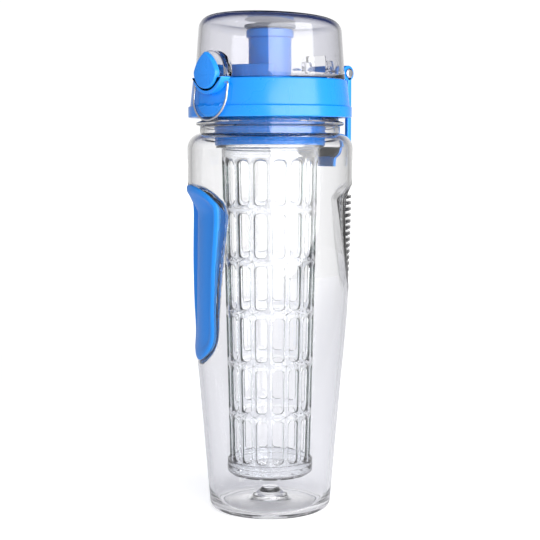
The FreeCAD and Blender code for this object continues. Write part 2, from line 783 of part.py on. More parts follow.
def make_dome():
    """The clear cover, its front lug, the window over the hinge knuckle and the ears on each side of it."""
    outside = cover_solid("cover_outside", 0.0)
    inside = cover_solid("cover_inside", S["dome_wall"])
    lug_disc = rod("lug_disc", S["lug_radius"], S["lug_face"] - 30.0, y=-S["lug_face"], z=S["lug_centre"],
                   rotation=ALONG_Y)
    lug_half = block("lug_half", -S["lug_radius"] - 1, S["lug_radius"] + 1, -S["lug_face"] - 1, -20.0,
                     S["pod_high"] + 0.4, S["lug_centre"] + S["lug_radius"] + 1)
    lug = common("lug", [lug_disc, lug_half])
    shell = cut("cover_shell", fuse("cover_and_lug", [outside, lug]), inside)
    gap = S["knuckle_half"] + 0.4
    window_block = block("knuckle_window", -gap, gap, 25.0, 50.0, S["dome_low"] - 2, S["window_high"])
    cut_shell = cut("cover_cut", shell, window_block)
    ears = []
    for side in (-1, 1):
        inner = S["ear_inner"] if side > 0 else -S["ear_outer"]
        length = S["ear_outer"] - S["ear_inner"]
        disc = rod(f"ear_disc_{side + 1}", S["ear_radius"], length, x=inner, y=S["hinge_y"], z=S["hinge_z"],
                   rotation=ALONG_X)
        web = block(f"ear_web_{side + 1}", inner, inner + length, 35.2, S["hinge_y"] + 1.5,
                    S["hinge_z"] - 2.0, S["window_high"] - 3.0)
        ears += [disc, web]
    bore = rod("ear_bore", S["pin_radius"] + S["pin_play"], 40.0, x=-20.0, y=S["hinge_y"], z=S["hinge_z"],
               rotation=ALONG_X)
    keep(cut("dome_cover_solid", fuse("cover_with_ears", [cut_shell] + ears), bore), "dome_cover")


def make_spout_seal():
    """A soft disc under the cover's top that closes the spout, with a stem up to the cover."""
    low = S["spout_high"] + 0.35
    high = S["dome_high"] - S["dome_wall"] - 0.45
    stem = S["seal_radius"] - 5.4
    keep(
        turned(
            "spout_seal_solid",
            [(0.0, low), (S["seal_radius"], low), (S["seal_radius"], low + 1.8), (stem, low + 2.1),
             (stem, high), (0.0, high)],
        ),
        "spout_seal",
    )


# ---- the hinge and the carry loop ----


def make_hinge_pin():
    end = S["eyelet_outer"] + 0.3
    shaft = rod("pin_shaft", S["pin_radius"], end * 2, x=-end, y=S["hinge_y"], z=S["hinge_z"], rotation=ALONG_X)
    heads = []
    for side in (-1, 1):
        start = end if side > 0 else -end - 1.0
        heads.append(rod(f"pin_head_{side + 1}", S["pin_head_radius"], 1.0, x=start, y=S["hinge_y"],
                         z=S["hinge_z"], rotation=ALONG_X))
    keep(fuse("hinge_pin_solid", [shaft] + heads), "hinge_pin")


def make_hinge_spacers():
    """Two sleeves that hold the loop's eyelets off the cover's ears."""
    sleeves = []
    low, high = S["ear_outer"] + 0.4, S["eyelet_inner"] - 0.4
    for side in (-1, 1):
        start = low if side > 0 else -high
        sleeves.append(rod(f"spacer_{side + 1}", S["spacer_radius"], high - low, x=start, y=S["hinge_y"],
                           z=S["hinge_z"], rotation=ALONG_X))
    bore = rod("spacer_bore", S["pin_radius"], 40.0, x=-20.0, y=S["hinge_y"], z=S["hinge_z"], rotation=ALONG_X)
    keep(cut("hinge_spacers_solid", fuse("spacer_pair", sleeves), bore), "hinge_spacers")


def make_carry_loop():
    """A band that hangs from the hinge pin and curves round the back of the lid and the bottle."""
    outer, inner, low = S["eyelet_outer"], S["eyelet_inner"], S["loop_low"]
    foot, knee = low + 7.0, low + S["loop_band"] + 6.0
    u_shape = plate(
        "loop_u",
        [
            (outer, foot + 6), (outer, S["hinge_z"]), (inner, S["hinge_z"]), (inner, knee + 4),
            (inner - 8, low + S["loop_band"]), (-inner + 8, low + S["loop_band"]), (-inner, knee + 4),
            (-inner, S["hinge_z"]), (-outer, S["hinge_z"]), (-outer, foot + 6),
            (-outer + 11, low), (outer - 11, low),
        ],
        {3: -9.5, 5: -9.5, 9: 12.5, 11: 12.5},
        -HUGE / 2, 0.0,
    )
    band = tube("loop_band_ring", S["loop_inner_radius"] + S["loop_thick"], S["loop_inner_radius"],
                low - 5, S["hinge_z"])
    parts = [common("loop_curved_band", [u_shape, band])]
    for side in (-1, 1):
        start = inner if side > 0 else -outer
        parts.append(rod(f"eyelet_{side + 1}", S["ear_radius"], outer - inner, x=start, y=S["hinge_y"],
                         z=S["hinge_z"], rotation=ALONG_X))
    bore = rod("eyelet_bore", S["pin_radius"] + S["pin_play"], 50.0, x=-25.0, y=S["hinge_y"], z=S["hinge_z"],
               rotation=ALONG_X)
    keep(cut("carry_loop_solid", fuse("loop_with_eyelets", parts), bore), "carry_loop")


# ---- the latch and the bail ----


def make_latch_button():
    arcs = dict(BUTTON_ARCS)
    arcs[2] = S["button_radius"]
    face = plate("button_plate", button_corners(), arcs, S["button_back"], S["button_face"])
    hub = rod("button_hub", S["hub_radius"], 12.4, x=-6.2, y=-S["latch_y"], z=S["latch_z"], rotation=ALONG_X)
    bore = rod("button_bore", S["latch_pin_radius"] + 0.3, 24.0, x=-12.0, y=-S["latch_y"], z=S["latch_z"],
               rotation=ALONG_X)
    keep(cut("latch_button_solid", fuse("button_and_hub", [face, hub]), bore), "latch_button")


def make_latch_pin():
    keep(rod("latch_pin_rod", S["latch_pin_radius"], 19.6, x=-9.8, y=-S["latch_y"], z=S["latch_z"],
             rotation=ALONG_X), "latch_pin")


def make_latch_spring():
    """A short coil between the housing and the button's lower edge, drawn as two closed turns."""
    turns = []
    wire = S["spring_wire"]
    for k in range(2):
        ring = bind(doc.addObject("Part::Torus", f"spring_turn_{k}"), {"Radius1": wire * 3.2, "Radius2": wire})
        turns.append(place(ring, y=-S["pocket_floor"] - wire - 1.8 * k * wire, z=S["spring_z"], rotation=ALONG_Y))
    keep(fuse("latch_spring_solid", turns), "latch_spring")


def make_lock_bail():
    """A U of steel wire whose ends turn in to pivot in the latch housing."""
    half, wire, leg = S["bail_half"], S["bail_wire"], S["bail_leg"]
    pieces = []
    for side in (-1, 1):
        pieces.append(rod(f"bail_leg_{side + 1}", wire, leg, x=half * side, z=-leg))
        elbow = bind(doc.addObject("Part::Sphere", f"bail_elbow_{side + 1}"), {"Radius": wire})
        pieces.append(place(elbow, x=half * side))
        start = 9.0 if side > 0 else -half
        pieces.append(rod(f"bail_end_{side + 1}", wire, half - 9.0, x=start, rotation=ALONG_X))
    bend = bind(doc.addObject("Part::Torus", "bail_bend"), {"Radius1": half, "Radius2": wire})
    bend.Angle3 = 180
    place(bend, z=-leg, rotation=FreeCAD.Rotation(FreeCAD.Vector(1, 0, 0), -90))
    bail = fuse("lock_bail_solid", pieces + [bend])
    lean = FreeCAD.Rotation(FreeCAD.Vector(1, 0, 0), -float(S["bail_lean"]))
    keep(place(bail, y=-S["bail_y"], z=S["bail_z"], rotation=lean), "lock_bail")


# ---- the infuser ----


def slot_outline(row):
    """One slot's corners from its top left, with round ends, in the given row."""
    half = S["slot_width"] / 2
    top = S["slot_top"] - S["slot_pitch"] * row
    high, low = top - half, top - S["slot_length"] + half
    return [(-half, low), (-half, high), (half, high), (half, low)]


def make_infuser_tube():
    wall, plug = S["tube_wall"], S["tube_plug_radius"]
    top, bottom = S["tube_top_radius"], S["tube_low_radius"]
    body = turned(
        "infuser_tube_solid",
        [
            (bottom - wall, S["tube_low"]),
            (bottom, S["tube_low"]),
            (top, S["tube_rim_low"]),
            (S["tube_rim_radius"], S["tube_rim_low"] + 0.4),
            (S["tube_rim_radius"], S["tube_rim_high"]),
            (plug, S["tube_rim_high"]),
            (plug, S["tube_high"]),
            (plug - wall, S["tube_high"]),
            (top - wall, S["tube_rim_low"]),
        ],
    )
    doc.recompute()
    before = body.Shape.Volume
    sketch = sketch_on(body, "slot_rows", "XZ_Plane")
    for row in range(SLOT_ROWS):
        draw_outline(sketch, slot_outline(row), {1: -S["slot_width"] / 2, 3: -S["slot_width"] / 2})
    pocket = body.newObject("PartDesign::Pocket", "slot_pocket")
    pocket.Profile = sketch
    pocket.Type = "ThroughAll"
    pocket.Midplane = True
    doc.recompute()
    pattern = body.newObject("PartDesign::PolarPattern", "slots_round")
    pattern.Originals = [pocket]
    pattern.Axis = (sketch, ["V_Axis"])
    pattern.Angle = 180 - 360 / SLOTS_ROUND  # each cut passes both walls, so half a turn is enough
    pattern.Occurrences = SLOTS_ROUND // 2
    body.Tip = pattern
    doc.recompute()
    print("infuser tube volume before and after its slots:", round(before), round(body.Shape.Volume))
    keep(body, "infuser_tube")


def make_infuser_cap():
    """A cup that screws over the tube's end, with a ring of drain holes in its floor."""
    radius, low, high = S["cap_radius"], S["cap_low"], S["cap_high"]
    bore = S["tube_low_radius"] + 0.45
    cup = turned(
        "cap_cup",
        [
            (0.0, low),
            (radius - 1.5, low),
            (radius, low + 1.5),
            (radius, high),
            (bore, high),
            (bore, low + 1.4),
            (0.0, low + 1.4),
        ],
    )
    holes = []
    for k in range(DRAIN_HOLES):
        angle = 2 * math.pi * k / DRAIN_HOLES
        holes.append(rod(f"drain_{k}", 1.2, 6.0, x=16.5 * math.cos(angle), y=16.5 * math.sin(angle), z=low - 2))
    keep(cut("infuser_cap_solid", cup, fuse("drain_holes", holes)), "infuser_cap")


def make_infuser_seal():
    keep(tube("infuser_seal_solid", S["tube_plug_radius"], S["tube_plug_radius"] - 3.0, S["tube_high"],
              S["deck_low"] - 0.4), "infuser_seal")


def check_and_export():
    doc.recompute()
    for thing in doc.Objects:
        if "Invalid" in thing.State or "Error" in thing.State:
            raise RuntimeError(f"{thing.Name} did not recompute: {thing.State}")
    os.makedirs("parts", exist_ok=True)
    for node in nodes:
        shape = node.Shape
        if shape.isNull() or not shape.isValid() or not shape.Solids:
            raise RuntimeError(f"{node.Label} is not a valid solid")
        shape.exportStep(f"parts/{node.Label}.step")
        box = shape.BoundBox
        print(f"{node.Label}: {len(shape.Solids)} solids, {shape.Volume:.0f} mm3,"
              f" x {box.XMin:.2f}..{box.XMax:.2f}, y {box.YMin:.2f}..{box.YMax:.2f}, z {box.ZMin:.2f}..{box.ZMax:.2f}")


make_bottle()
make_palm_grip()
make_finger_ribs()
make_lid()
make_inner_collar()
make_spout()
make_neck_gasket()
make_vent_valve()
make_dome()
make_spout_seal()
make_hinge_pin()
make_hinge_spacers()
make_carry_loop()
make_latch_button()
make_latch_pin()
make_latch_spring()
make_lock_bail()
make_infuser_tube()
make_infuser_cap()
make_infuser_seal()
check_and_export()
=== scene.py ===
import math

import bmesh
import bpy
import numpy as np
from mathutils import Matrix, Vector


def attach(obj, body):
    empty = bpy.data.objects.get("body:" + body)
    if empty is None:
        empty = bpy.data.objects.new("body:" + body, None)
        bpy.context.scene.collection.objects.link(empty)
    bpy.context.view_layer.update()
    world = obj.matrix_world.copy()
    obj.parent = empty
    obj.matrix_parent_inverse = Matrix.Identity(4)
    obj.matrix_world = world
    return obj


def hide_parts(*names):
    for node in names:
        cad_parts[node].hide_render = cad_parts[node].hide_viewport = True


# A clear fruit-infuser bottle with a flip-top lid. Shapes are written in millimetres and made in metres.

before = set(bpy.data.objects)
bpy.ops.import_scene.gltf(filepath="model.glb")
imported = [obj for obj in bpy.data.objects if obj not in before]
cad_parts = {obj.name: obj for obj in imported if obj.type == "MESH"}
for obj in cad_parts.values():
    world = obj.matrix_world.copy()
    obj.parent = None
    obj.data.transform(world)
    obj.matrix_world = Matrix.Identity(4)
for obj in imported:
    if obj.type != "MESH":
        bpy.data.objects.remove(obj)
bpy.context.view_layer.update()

MM = 0.001
TURN = 2 * math.pi
ON_AXIS = 0.001  # a radius under this is the axis itself

# ---- sizes, in millimetres ----

WALL = 2.2
LIP_HEIGHT = 222.0
THREAD_ROOT, THREAD_CREST = 36.2, 37.4
HINGE_Y, HINGE_Z = 40.0, 232.0
LUG_CENTRE = 230.0
INFUSER_TOP, INFUSER_FOOT = (25.6, 192.2), (21.4, 20.4)
INFUSER_WALL = 1.6
SLOT_ROWS, SLOT_COLUMNS, SLOT_PITCH, SLOT_TOP = 6, 16, 27.2, 185.7
SLOT_HALF_WIDTH, SLOT_HALF_LENGTH, SLOT_BEND = 3.15, 11.4, 2.3

PALM = {"angle": 240.0, "half": 26.5, "low": 80.8, "high": 173.0, "floor": 36.8, "pad": 1.8, "proud": 0.6}
FINGER = {"angle": 46.0, "half": 19.0, "low": 118.0, "high": 174.0, "floor": 36.0, "deepest": 166.0}
FINGER_RUNOUT = 6.2  # how much further out the finger recess's floor lies at its bottom
RECESS_EDGE = 2.4  # width over which the bottle turns down into a recess


# ---- tools for outlines ----


def arc_between(start, end, radius, steps):
    """Points of the arc from start to end, bulging to the right of the way; both ends included."""
    a, b = Vector(start), Vector(end)
    chord = b - a
    half = chord.length / 2
    rise = math.sqrt(max(radius ** 2 - half ** 2, 0.0))
    side = Vector((chord.y, -chord.x)).normalized()
    centre = (a + b) / 2 - side * rise
    first = math.atan2(*(a - centre).yx)
    last = math.atan2(*(b - centre).yx)
    sweep = (last - first + math.pi) % TURN - math.pi
    angles = [first + sweep * k / steps for k in range(steps + 1)]
    return [(centre.x + radius * math.cos(t), centre.y + radius * math.sin(t)) for t in angles]


def rounded(corners, bend=0.4, steps=4, closed=True):
    """Rounds every corner of an outline. A corner may carry its own radius as a third number."""
    points = []
    count = len(corners)
    for k, corner in enumerate(corners):
        here = Vector(corner[:2])
        radius = corner[2] if len(corner) > 2 else bend
        at_end = not closed and k in (0, count - 1)
        if at_end or radius == 0 or abs(here.x) < ON_AXIS:
            points.append(tuple(here))
            continue
        back = Vector(corners[k - 1][:2]) - here
        ahead = Vector(corners[(k + 1) % count][:2]) - here
        half_angle = back.angle(ahead) / 2
        reach = min(radius / math.tan(half_angle), 0.48 * back.length, 0.48 * ahead.length)
        a, b = here + back.normalized() * reach, here + ahead.normalized() * reach
        for s in (j / steps for j in range(steps + 1)):
            points.append(tuple(a * (1 - s) ** 2 + here * 2 * s * (1 - s) + b * s ** 2))
    return points


def filled_in(points, spacing, closed=False):
    """Adds points along an outline so that none are further apart than spacing."""
    result = []
    ends = points[1:] + points[:1] if closed else points[1:]
    for a, b in zip(points, ends):
        pieces = max(1, math.ceil(math.dist(a, b) / spacing - 0.01))
        result += [tuple(Vector(a).lerp(Vector(b), k / pieces)) for k in range(pieces)]
    return result if closed else result + [points[-1]]


def smooth_loop(points, steps):
    """A closed smooth curve through the points."""
    result = []
    count = len(points)
    for k in range(count):
        p0, p1, p2, p3 = (Vector(points[(k + j) % count]) for j in (-1, 0, 1, 2))
        for s in (j / steps for j in range(steps)):
            cubic = 2 * p1 + (p2 - p0) * s + (2 * p0 - 5 * p1 + 4 * p2 - p3) * s ** 2
            result.append(tuple((cubic + (3 * p1 - p0 - 3 * p2 + p3) * s ** 3) / 2))
    return result


def inset_loop(points, depth):
    """The closed outline moved inwards by depth."""
    area = sum(a[0] * b[1] - b[0] * a[1] for a, b in zip(points, points[1:] + points[:1]))
    inward = 1 if area > 0 else -1
    result = []
    for k, point in enumerate(points):
        before, after = Vector(points[k - 1]), Vector(points[(k + 1) % len(points)])
        along = (after - before).normalized()
        result.append((point[0] - along.y * depth * inward, point[1] + along.x * depth * inward))
    return result


# ---- tools for meshes ----


def finished(name, verts, faces, sharp=38.0, recalculate=True):
    """An object from points in millimetres, its doubles merged, its faces outwards and its shading smooth."""
    mesh = bpy.data.meshes.new(name)
    mesh.from_pydata([Vector(v) * MM for v in verts], [], faces)
    obj = bpy.data.objects.new(name, mesh)
    bpy.context.scene.collection.objects.link(obj)
    tidy(obj, sharp, recalculate)
    return obj


def tidy(obj, sharp=38.0, recalculate=True):
    work = bmesh.new()
    work.from_mesh(obj.data)
    bmesh.ops.remove_doubles(work, verts=work.verts, dist=1e-6)
    bmesh.ops.dissolve_degenerate(work, edges=work.edges, dist=1e-7)
    if recalculate:
        bmesh.ops.recalc_face_normals(work, faces=work.faces)
    work.to_mesh(obj.data)
    work.free()
    obj.data.polygons.foreach_set("use_smooth", [True] * len(obj.data.polygons))
    obj.data.set_sharp_from_angle(angle=math.radians(sharp))


def ring_faces(rings, closed):
    """Faces that join each ring of point numbers to the next; a ring of one point is a pole."""
    faces = []
    pairs = list(zip(rings, rings[1:] + rings[:1])) if closed else list(zip(rings, rings[1:]))
    for a, b in pairs:
        count = max(len(a), len(b))
        if count == 1:
            continue
        for k in range(count):
            n = (k + 1) % count
            corners = [a[k % len(a)], a[n % len(a)], b[n % len(b)], b[k % len(b)]]
            faces.append(list(dict.fromkeys(corners)))
    return faces


def turned(name, outline, steps=160, sharp=38.0, place=None):
    """A solid turned about Z from a closed outline of radius and height."""
    verts, rings = [], []
    for radius, height in outline:
        if radius < ON_AXIS:
            rings.append([len(verts)])
            verts.append(Vector((0, 0, height)))
            continue
        rings.append(list(range(len(verts), len(verts) + steps)))
        for k in range(steps):
            angle = TURN * k / steps
            verts.append(Vector((radius * math.cos(angle), radius * math.sin(angle), height)))
    if place:
        verts = [place @ v for v in verts]
    return finished(name, verts, ring_faces(rings, closed=outline[0][0] >= ON_AXIS), sharp)


def slab(name, outline, layers, lift, sharp=38.0):
    """A solid with a flat outline. Layers list (inset, depth) from the back; lift places (u, v, depth)."""
    verts, rings = [], []
    for inset, depth in layers:
        loop = inset_loop(outline, inset) if inset else outline
        rings.append(list(range(len(verts), len(verts) + len(loop))))
        verts += [lift(u, v, depth) for u, v in loop]
    faces = ring_faces(rings, closed=False) + [list(reversed(rings[0])), rings[-1]]
    return finished(name, verts, faces, sharp)


def swept(name, section, path, sharp=38.0):
    """A solid whose section, a list of (out, up), is carried along path, a function of its step's share."""
    verts, rings = [], []
    for share, squeeze in path["stations"]:
        middle = path["middle"]
        rings.append(list(range(len(verts), len(verts) + len(section))))
        for out, up in section:
            away = middle[0] + (out - middle[0]) * squeeze
            high = middle[1] + (up - middle[1]) * squeeze
            verts.append(path["lift"](share, away, high))
    faces = ring_faces(rings, closed=False) + [list(reversed(rings[0])), rings[-1]]
    return finished(name, verts, faces, sharp)


def wire(name, points, radius, closed=False):
    """A round wire through the points."""
    curve = bpy.data.curves.new(name, "CURVE")
    curve.dimensions = "3D"
    curve.bevel_depth = radius * MM
    curve.bevel_resolution = 4
    curve.use_fill_caps = not closed
    spline = curve.splines.new("POLY")
    spline.points.add(len(points) - 1)
    spline.use_cyclic_u = closed
    for point, spot in zip(spline.points, points):
        point.co = (*(Vector(spot) * MM), 1.0)
    holder = bpy.data.objects.new(f"{name}_line", curve)
    bpy.context.scene.collection.objects.link(holder)
    return settled(name, holder, 60.0)


def settled(name, source, sharp=38.0):
    """The evaluated source as a plain mesh object; the source is removed."""
    bpy.context.view_layer.update()
    graph = bpy.context.evaluated_depsgraph_get()
    mesh = bpy.data.meshes.new_from_object(source.evaluated_get(graph))
    bpy.data.objects.remove(source)
    mesh.name = name
    obj = bpy.data.objects.new(name, mesh)
    bpy.context.scene.collection.objects.link(obj)
    tidy(obj, sharp)
    return obj


def together(name, parts, sharp=38.0, recalculate=True):
    """One object from several."""
    verts, faces = [], []
    for part in parts:
        first = len(verts)
        verts += [v.co / MM for v in part.data.vertices]
        faces += [[first + k for k in face.vertices] for face in part.data.polygons]
        bpy.data.objects.remove(part)
    return finished(name, verts, faces, sharp, recalculate)


def carved(name, base, steps, sharp=38.0):
    """The base after a list of (operation, tool) in turn."""
    for operation, tool in steps:
        change = base.modifiers.new(tool.name, "BOOLEAN")
        change.operation = operation
        change.solver = "EXACT"
        change.object = tool
    bpy.context.view_layer.update()
    done = settled(name, base, sharp)
    for _, tool in steps:
        bpy.data.objects.remove(tool)
    return done


ALONG_X = Matrix.Rotation(math.pi / 2, 3, "Y")


def along_x(y, z):
    """Places a piece turned about Z so that its axis runs along X through y, z."""
    return lambda v: ALONG_X @ v + Vector((0, y, z))


class Placed:
    """A place written as a function, used with @ as a matrix is."""

    def __init__(self, move):
        self.move = move

    def __matmul__(self, point):
        return self.move(point)


def finish_piece(obj, body, material, slot, *nodes):
    obj.data.materials.clear()
    obj.data.materials.append(material)
    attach(obj, body)
    if nodes:
        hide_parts(*nodes)
    return obj


# ---- shader groups ----


def new_group(name, inputs, outputs):
    group = bpy.data.node_groups.new(name, "ShaderNodeTree")
    for label, value in inputs:
        socket = group.interface.new_socket(label, in_out="INPUT", socket_type="NodeSocketFloat")
        socket.default_value = value
    for label in outputs:
        group.interface.new_socket(label, in_out="OUTPUT", socket_type="NodeSocketFloat")
    return group


def add_node(tree, kind, **values):
    node = tree.nodes.new(kind)
    for key, value in values.items():
        setattr(node, key, value)
    return node


def maths(tree, operation, first, second=None, third=None):
    node = add_node(tree, "ShaderNodeMath", operation=operation)
    for socket, value in zip(node.inputs, (first, second, third)):
        if isinstance(value, bpy.types.NodeSocket):
            tree.links.new(value, socket)
        elif value is not None:
            socket.default_value = value
    return node.outputs[0]


def noise(tree, place, scale, detail=2.0):
    node = add_node(tree, "ShaderNodeTexNoise")
    node.inputs["Detail"].default_value = detail
    tree.links.new(place, node.inputs["Vector"])
    if isinstance(scale, bpy.types.NodeSocket):
        tree.links.new(scale, node.inputs["Scale"])
    else:
        node.inputs["Scale"].default_value = scale
    return node.outputs["Fac"]


def moulded_finish():
    """The skin of a moulded part: an uneven gloss, a faint grain, slow cloudiness and lighter worn edges."""
    group = new_group(
        "moulded_finish",
        [("Roughness", 0.25), ("Unevenness", 0.08), ("Grain Size", 900.0), ("Cloud Size", 25.0)],
        ["Roughness", "Grain", "Cloud", "Edge"],
    )
    inside, outside = group.nodes.new("NodeGroupInput"), group.nodes.new("NodeGroupOutput")
    place = group.nodes.new("ShaderNodeTexCoord").outputs["Object"]
    cloud = noise(group, place, inside.outputs["Cloud Size"], 3.0)
    grain = noise(group, place, inside.outputs["Grain Size"], 2.0)
    swing = maths(group, "MULTIPLY", maths(group, "SUBTRACT", cloud, 0.5), inside.outputs["Unevenness"])
    edge = group.nodes.new("ShaderNodeNewGeometry").outputs["Pointiness"]
    worn = maths(group, "MULTIPLY", maths(group, "SUBTRACT", edge, 0.52), 9.0)
    worn = maths(group, "MINIMUM", maths(group, "MAXIMUM", worn, 0.0), 1.0)
    rough = maths(group, "MULTIPLY_ADD", worn, 0.12, maths(group, "ADD", inside.outputs["Roughness"], swing))
    for label, value in (("Roughness", rough), ("Grain", grain), ("Cloud", cloud), ("Edge", worn)):
        group.links.new(value, outside.inputs[label])
    return group


def fine_scratches():
    """Hair-thin marks of handling: a mask of long thin streaks in two directions."""
    group = new_group("fine_scratches", [("Density", 260.0), ("Strength", 0.5)], ["Mask"])
    inside, outside = group.nodes.new("NodeGroupInput"), group.nodes.new("NodeGroupOutput")
    place = group.nodes.new("ShaderNodeTexCoord").outputs["Object"]
    masks = []
    for angle in (0.35, -1.1):
        turn = add_node(group, "ShaderNodeMapping")
        turn.inputs["Rotation"].default_value = (angle, 0.2, angle)
        turn.inputs["Scale"].default_value = (1.0, 1.0, 0.04)
        group.links.new(place, turn.inputs["Vector"])
        streak = noise(group, turn.outputs["Vector"], inside.outputs["Density"], 1.0)
        thin = maths(group, "MULTIPLY", maths(group, "SUBTRACT", streak, 0.66), 9.0)
        masks.append(maths(group, "MINIMUM", maths(group, "MAXIMUM", thin, 0.0), 1.0))
    both = maths(group, "MAXIMUM", masks[0], masks[1])
    group.links.new(maths(group, "MULTIPLY", both, inside.outputs["Strength"]), outside.inputs["Mask"])
    return group


MOULDED, SCRATCHES = moulded_finish(), fine_scratches()


# ---- materials ----


def start_material(name):
    material = bpy.data.materials.new(name)
    material.use_nodes = True
    tree = material.node_tree
    shader = next(node for node in tree.nodes if node.type == "BSDF_PRINCIPLED")
    return material, tree, shader


def place_group(tree, group, **values):
    node = add_node(tree, "ShaderNodeGroup", node_tree=group)
    for label, value in values.items():
        node.inputs[label.replace("_", " ")].default_value = value
    return node


def mixed(tree, share, first, second):
    """A colour between two, by a share that changes over the surface."""
    node = add_node(tree, "ShaderNodeMix", data_type="RGBA")
    tree.links.new(share, node.inputs["Factor"])
    for label, value in (("A", first), ("B", second)):
        socket = next(s for s in node.inputs if s.name == label and s.type == "RGBA")
        if isinstance(value, bpy.types.NodeSocket):
            tree.links.new(value, socket)
        else:
            socket.default_value = (*value, 1.0)
    return next(s for s in node.outputs if s.type == "RGBA")


def bumped(tree, shader, height, strength, distance):
    bump = add_node(tree, "ShaderNodeBump")
    bump.inputs["Strength"].default_value = strength
    bump.inputs["Distance"].default_value = distance
    tree.links.new(height, bump.inputs["Height"])
    tree.links.new(bump.outputs["Normal"], shader.inputs["Normal"])


def blue_plastic(name, colour, worn, roughness, grain, grain_strength, coat=0.0):
    """Coloured moulded plastic: cloudy shade, worn lighter edges, a fine grain and handling marks."""
    material, tree, shader = start_material(name)
    skin = place_group(tree, MOULDED, Roughness=roughness, Unevenness=0.12, Grain_Size=grain, Cloud_Size=32.0)
    marks = place_group(tree, SCRATCHES, Density=220.0, Strength=0.35)
    darker = tuple(c * 0.9 for c in colour)
    body = mixed(tree, skin.outputs["Cloud"], darker, tuple(min(c * 1.1, 1.0) for c in colour))
    tree.links.new(mixed(tree, skin.outputs["Edge"], body, worn), shader.inputs["Base Color"])
    rough = maths(tree, "MULTIPLY_ADD", marks.outputs["Mask"], 0.15, skin.outputs["Roughness"])
    tree.links.new(rough, shader.inputs["Roughness"])
    bumped(tree, shader, skin.outputs["Grain"], grain_strength, 0.0002)
    shader.inputs["Coat Weight"].default_value = coat
    shader.inputs["Coat Roughness"].default_value = 0.12
    return material


def clear_plastic(name, light, dark, ior, roughness, waviness, rim=None):
    """Clear moulded plastic: an uneven tint, slow waves and hair-thin marks. rim is a painted shade, a dark
    colour painted on the cut edges where refraction draws dark lines.
    """
    material, tree, shader = start_material(name)
    skin = place_group(tree, MOULDED, Roughness=roughness, Unevenness=0.015, Grain_Size=45.0, Cloud_Size=18.0)
    marks = place_group(tree, SCRATCHES, Density=240.0, Strength=0.3)
    tint = mixed(tree, skin.outputs["Cloud"], dark, light)
    # Painted shade: the points marked in the rim attribute take the dark rim colour.
    if rim:
        cut = add_node(tree, "ShaderNodeAttribute", attribute_name="rim")
        tint = mixed(tree, cut.outputs["Fac"], tint, rim)
    tree.links.new(tint, shader.inputs["Base Color"])
    rough = maths(tree, "MULTIPLY_ADD", marks.outputs["Mask"], 0.06, skin.outputs["Roughness"])
    tree.links.new(maths(tree, "MAXIMUM", rough, 0.0), shader.inputs["Roughness"])
    bumped(tree, shader, skin.outputs["Grain"], waviness, 0.0006)
    shader.inputs["Transmission Weight"].default_value = 1.0
    shader.inputs["IOR"].default_value = ior
    return material


def milky_silicone():
    material, tree, shader = start_material("silicone")
    skin = place_group(tree, MOULDED, Roughness=0.42, Unevenness=0.1, Grain_Size=1200.0, Cloud_Size=60.0)
    cloudy = mixed(tree, skin.outputs["Cloud"], (0.50, 0.53, 0.58), (0.62, 0.65, 0.70))
    tree.links.new(cloudy, shader.inputs["Base Color"])
    tree.links.new(skin.outputs["Roughness"], shader.inputs["Roughness"])
    bumped(tree, shader, skin.outputs["Grain"], 0.25, 0.0001)
    shader.inputs["Transmission Weight"].default_value = 0.55
    shader.inputs["IOR"].default_value = 1.41
    return material


def drawn_steel():
    material, tree, shader = start_material("steel")
    skin = place_group(tree, MOULDED, Roughness=0.2, Unevenness=0.1, Grain_Size=2500.0, Cloud_Size=120.0)
    marks = place_group(tree, SCRATCHES, Density=900.0, Strength=0.8)
    tone = mixed(tree, skin.outputs["Cloud"], (0.42, 0.43, 0.46), (0.66, 0.67, 0.70))
    tree.links.new(tone, shader.inputs["Base Color"])
    rough = maths(tree, "MULTIPLY_ADD", marks.outputs["Mask"], 0.2, skin.outputs["Roughness"])
    tree.links.new(rough, shader.inputs["Roughness"])
    bumped(tree, shader, marks.outputs["Mask"], 0.2, 0.00005)
    shader.inputs["Metallic"].default_value = 1.0
    return material


GLOSSY_BLUE = blue_plastic("blue_gloss", (0.0, 0.25, 0.88), (0.05, 0.42, 0.98), 0.27, 1400.0, 0.12, 0.15)
SOFT_BLUE = blue_plastic("blue_soft", (0.003, 0.25, 0.84), (0.08, 0.42, 0.95), 0.42, 2200.0, 0.3)
CLEAR_BODY = clear_plastic("clear_body", (0.985, 0.985, 0.99), (0.965, 0.965, 0.975), 1.5, 0.006, 0.03)
CLEAR_RIBS = clear_plastic("clear_ribs", (0.80, 0.80, 0.83), (0.70, 0.70, 0.74), 1.5, 0.05, 0.08)
SLOT_EDGE_PAINTED_SHADE = (0.03, 0.06, 0.055)  # painted shade: the dark colour painted on the slots' cut edges, standing in for the dark lines that refraction draws there
# The infuser's material paints the slots' cut edges with the dark SLOT_EDGE_PAINTED_SHADE colour.
CLEAR_INFUSER = clear_plastic(
    "clear_infuser", (0.955, 0.96, 0.97), (0.91, 0.92, 0.935), 1.5, 0.008, 0.03, SLOT_EDGE_PAINTED_SHADE
)
SMOKY = clear_plastic("smoky_cover", (0.88, 0.88, 0.91), (0.84, 0.84, 0.885), 1.5, 0.006, 0.03)
SILICONE, STEEL = milky_silicone(), drawn_steel()


# ---- the clear bottle ----


def skin_radius(height):
    """The bottle's outer radius on its flank and body."""
    share = np.clip((height - 70.0) / 103.0, 0.0, 1.0)
    flank = 37.9 + 5.6 * share + 1.4 * 4 * share * (1 - share)
    return np.where(height < 70.0, 32.4 + 5.5 * (height - 3.0) / 67.0, flank)


def softened(heights, radii, reach=3.0):
    """A floor line through the given heights and radii, its corners eased."""
    steps = np.arange(heights[0], heights[-1], 0.25)
    line = np.interp(steps, heights, radii)
    width = int(reach / 0.25) | 1
    padded = np.pad(line, width // 2, mode="edge")
    eased = np.convolve(padded, np.ones(width) / width, mode="valid")
    return lambda z: np.interp(z, steps, eased)


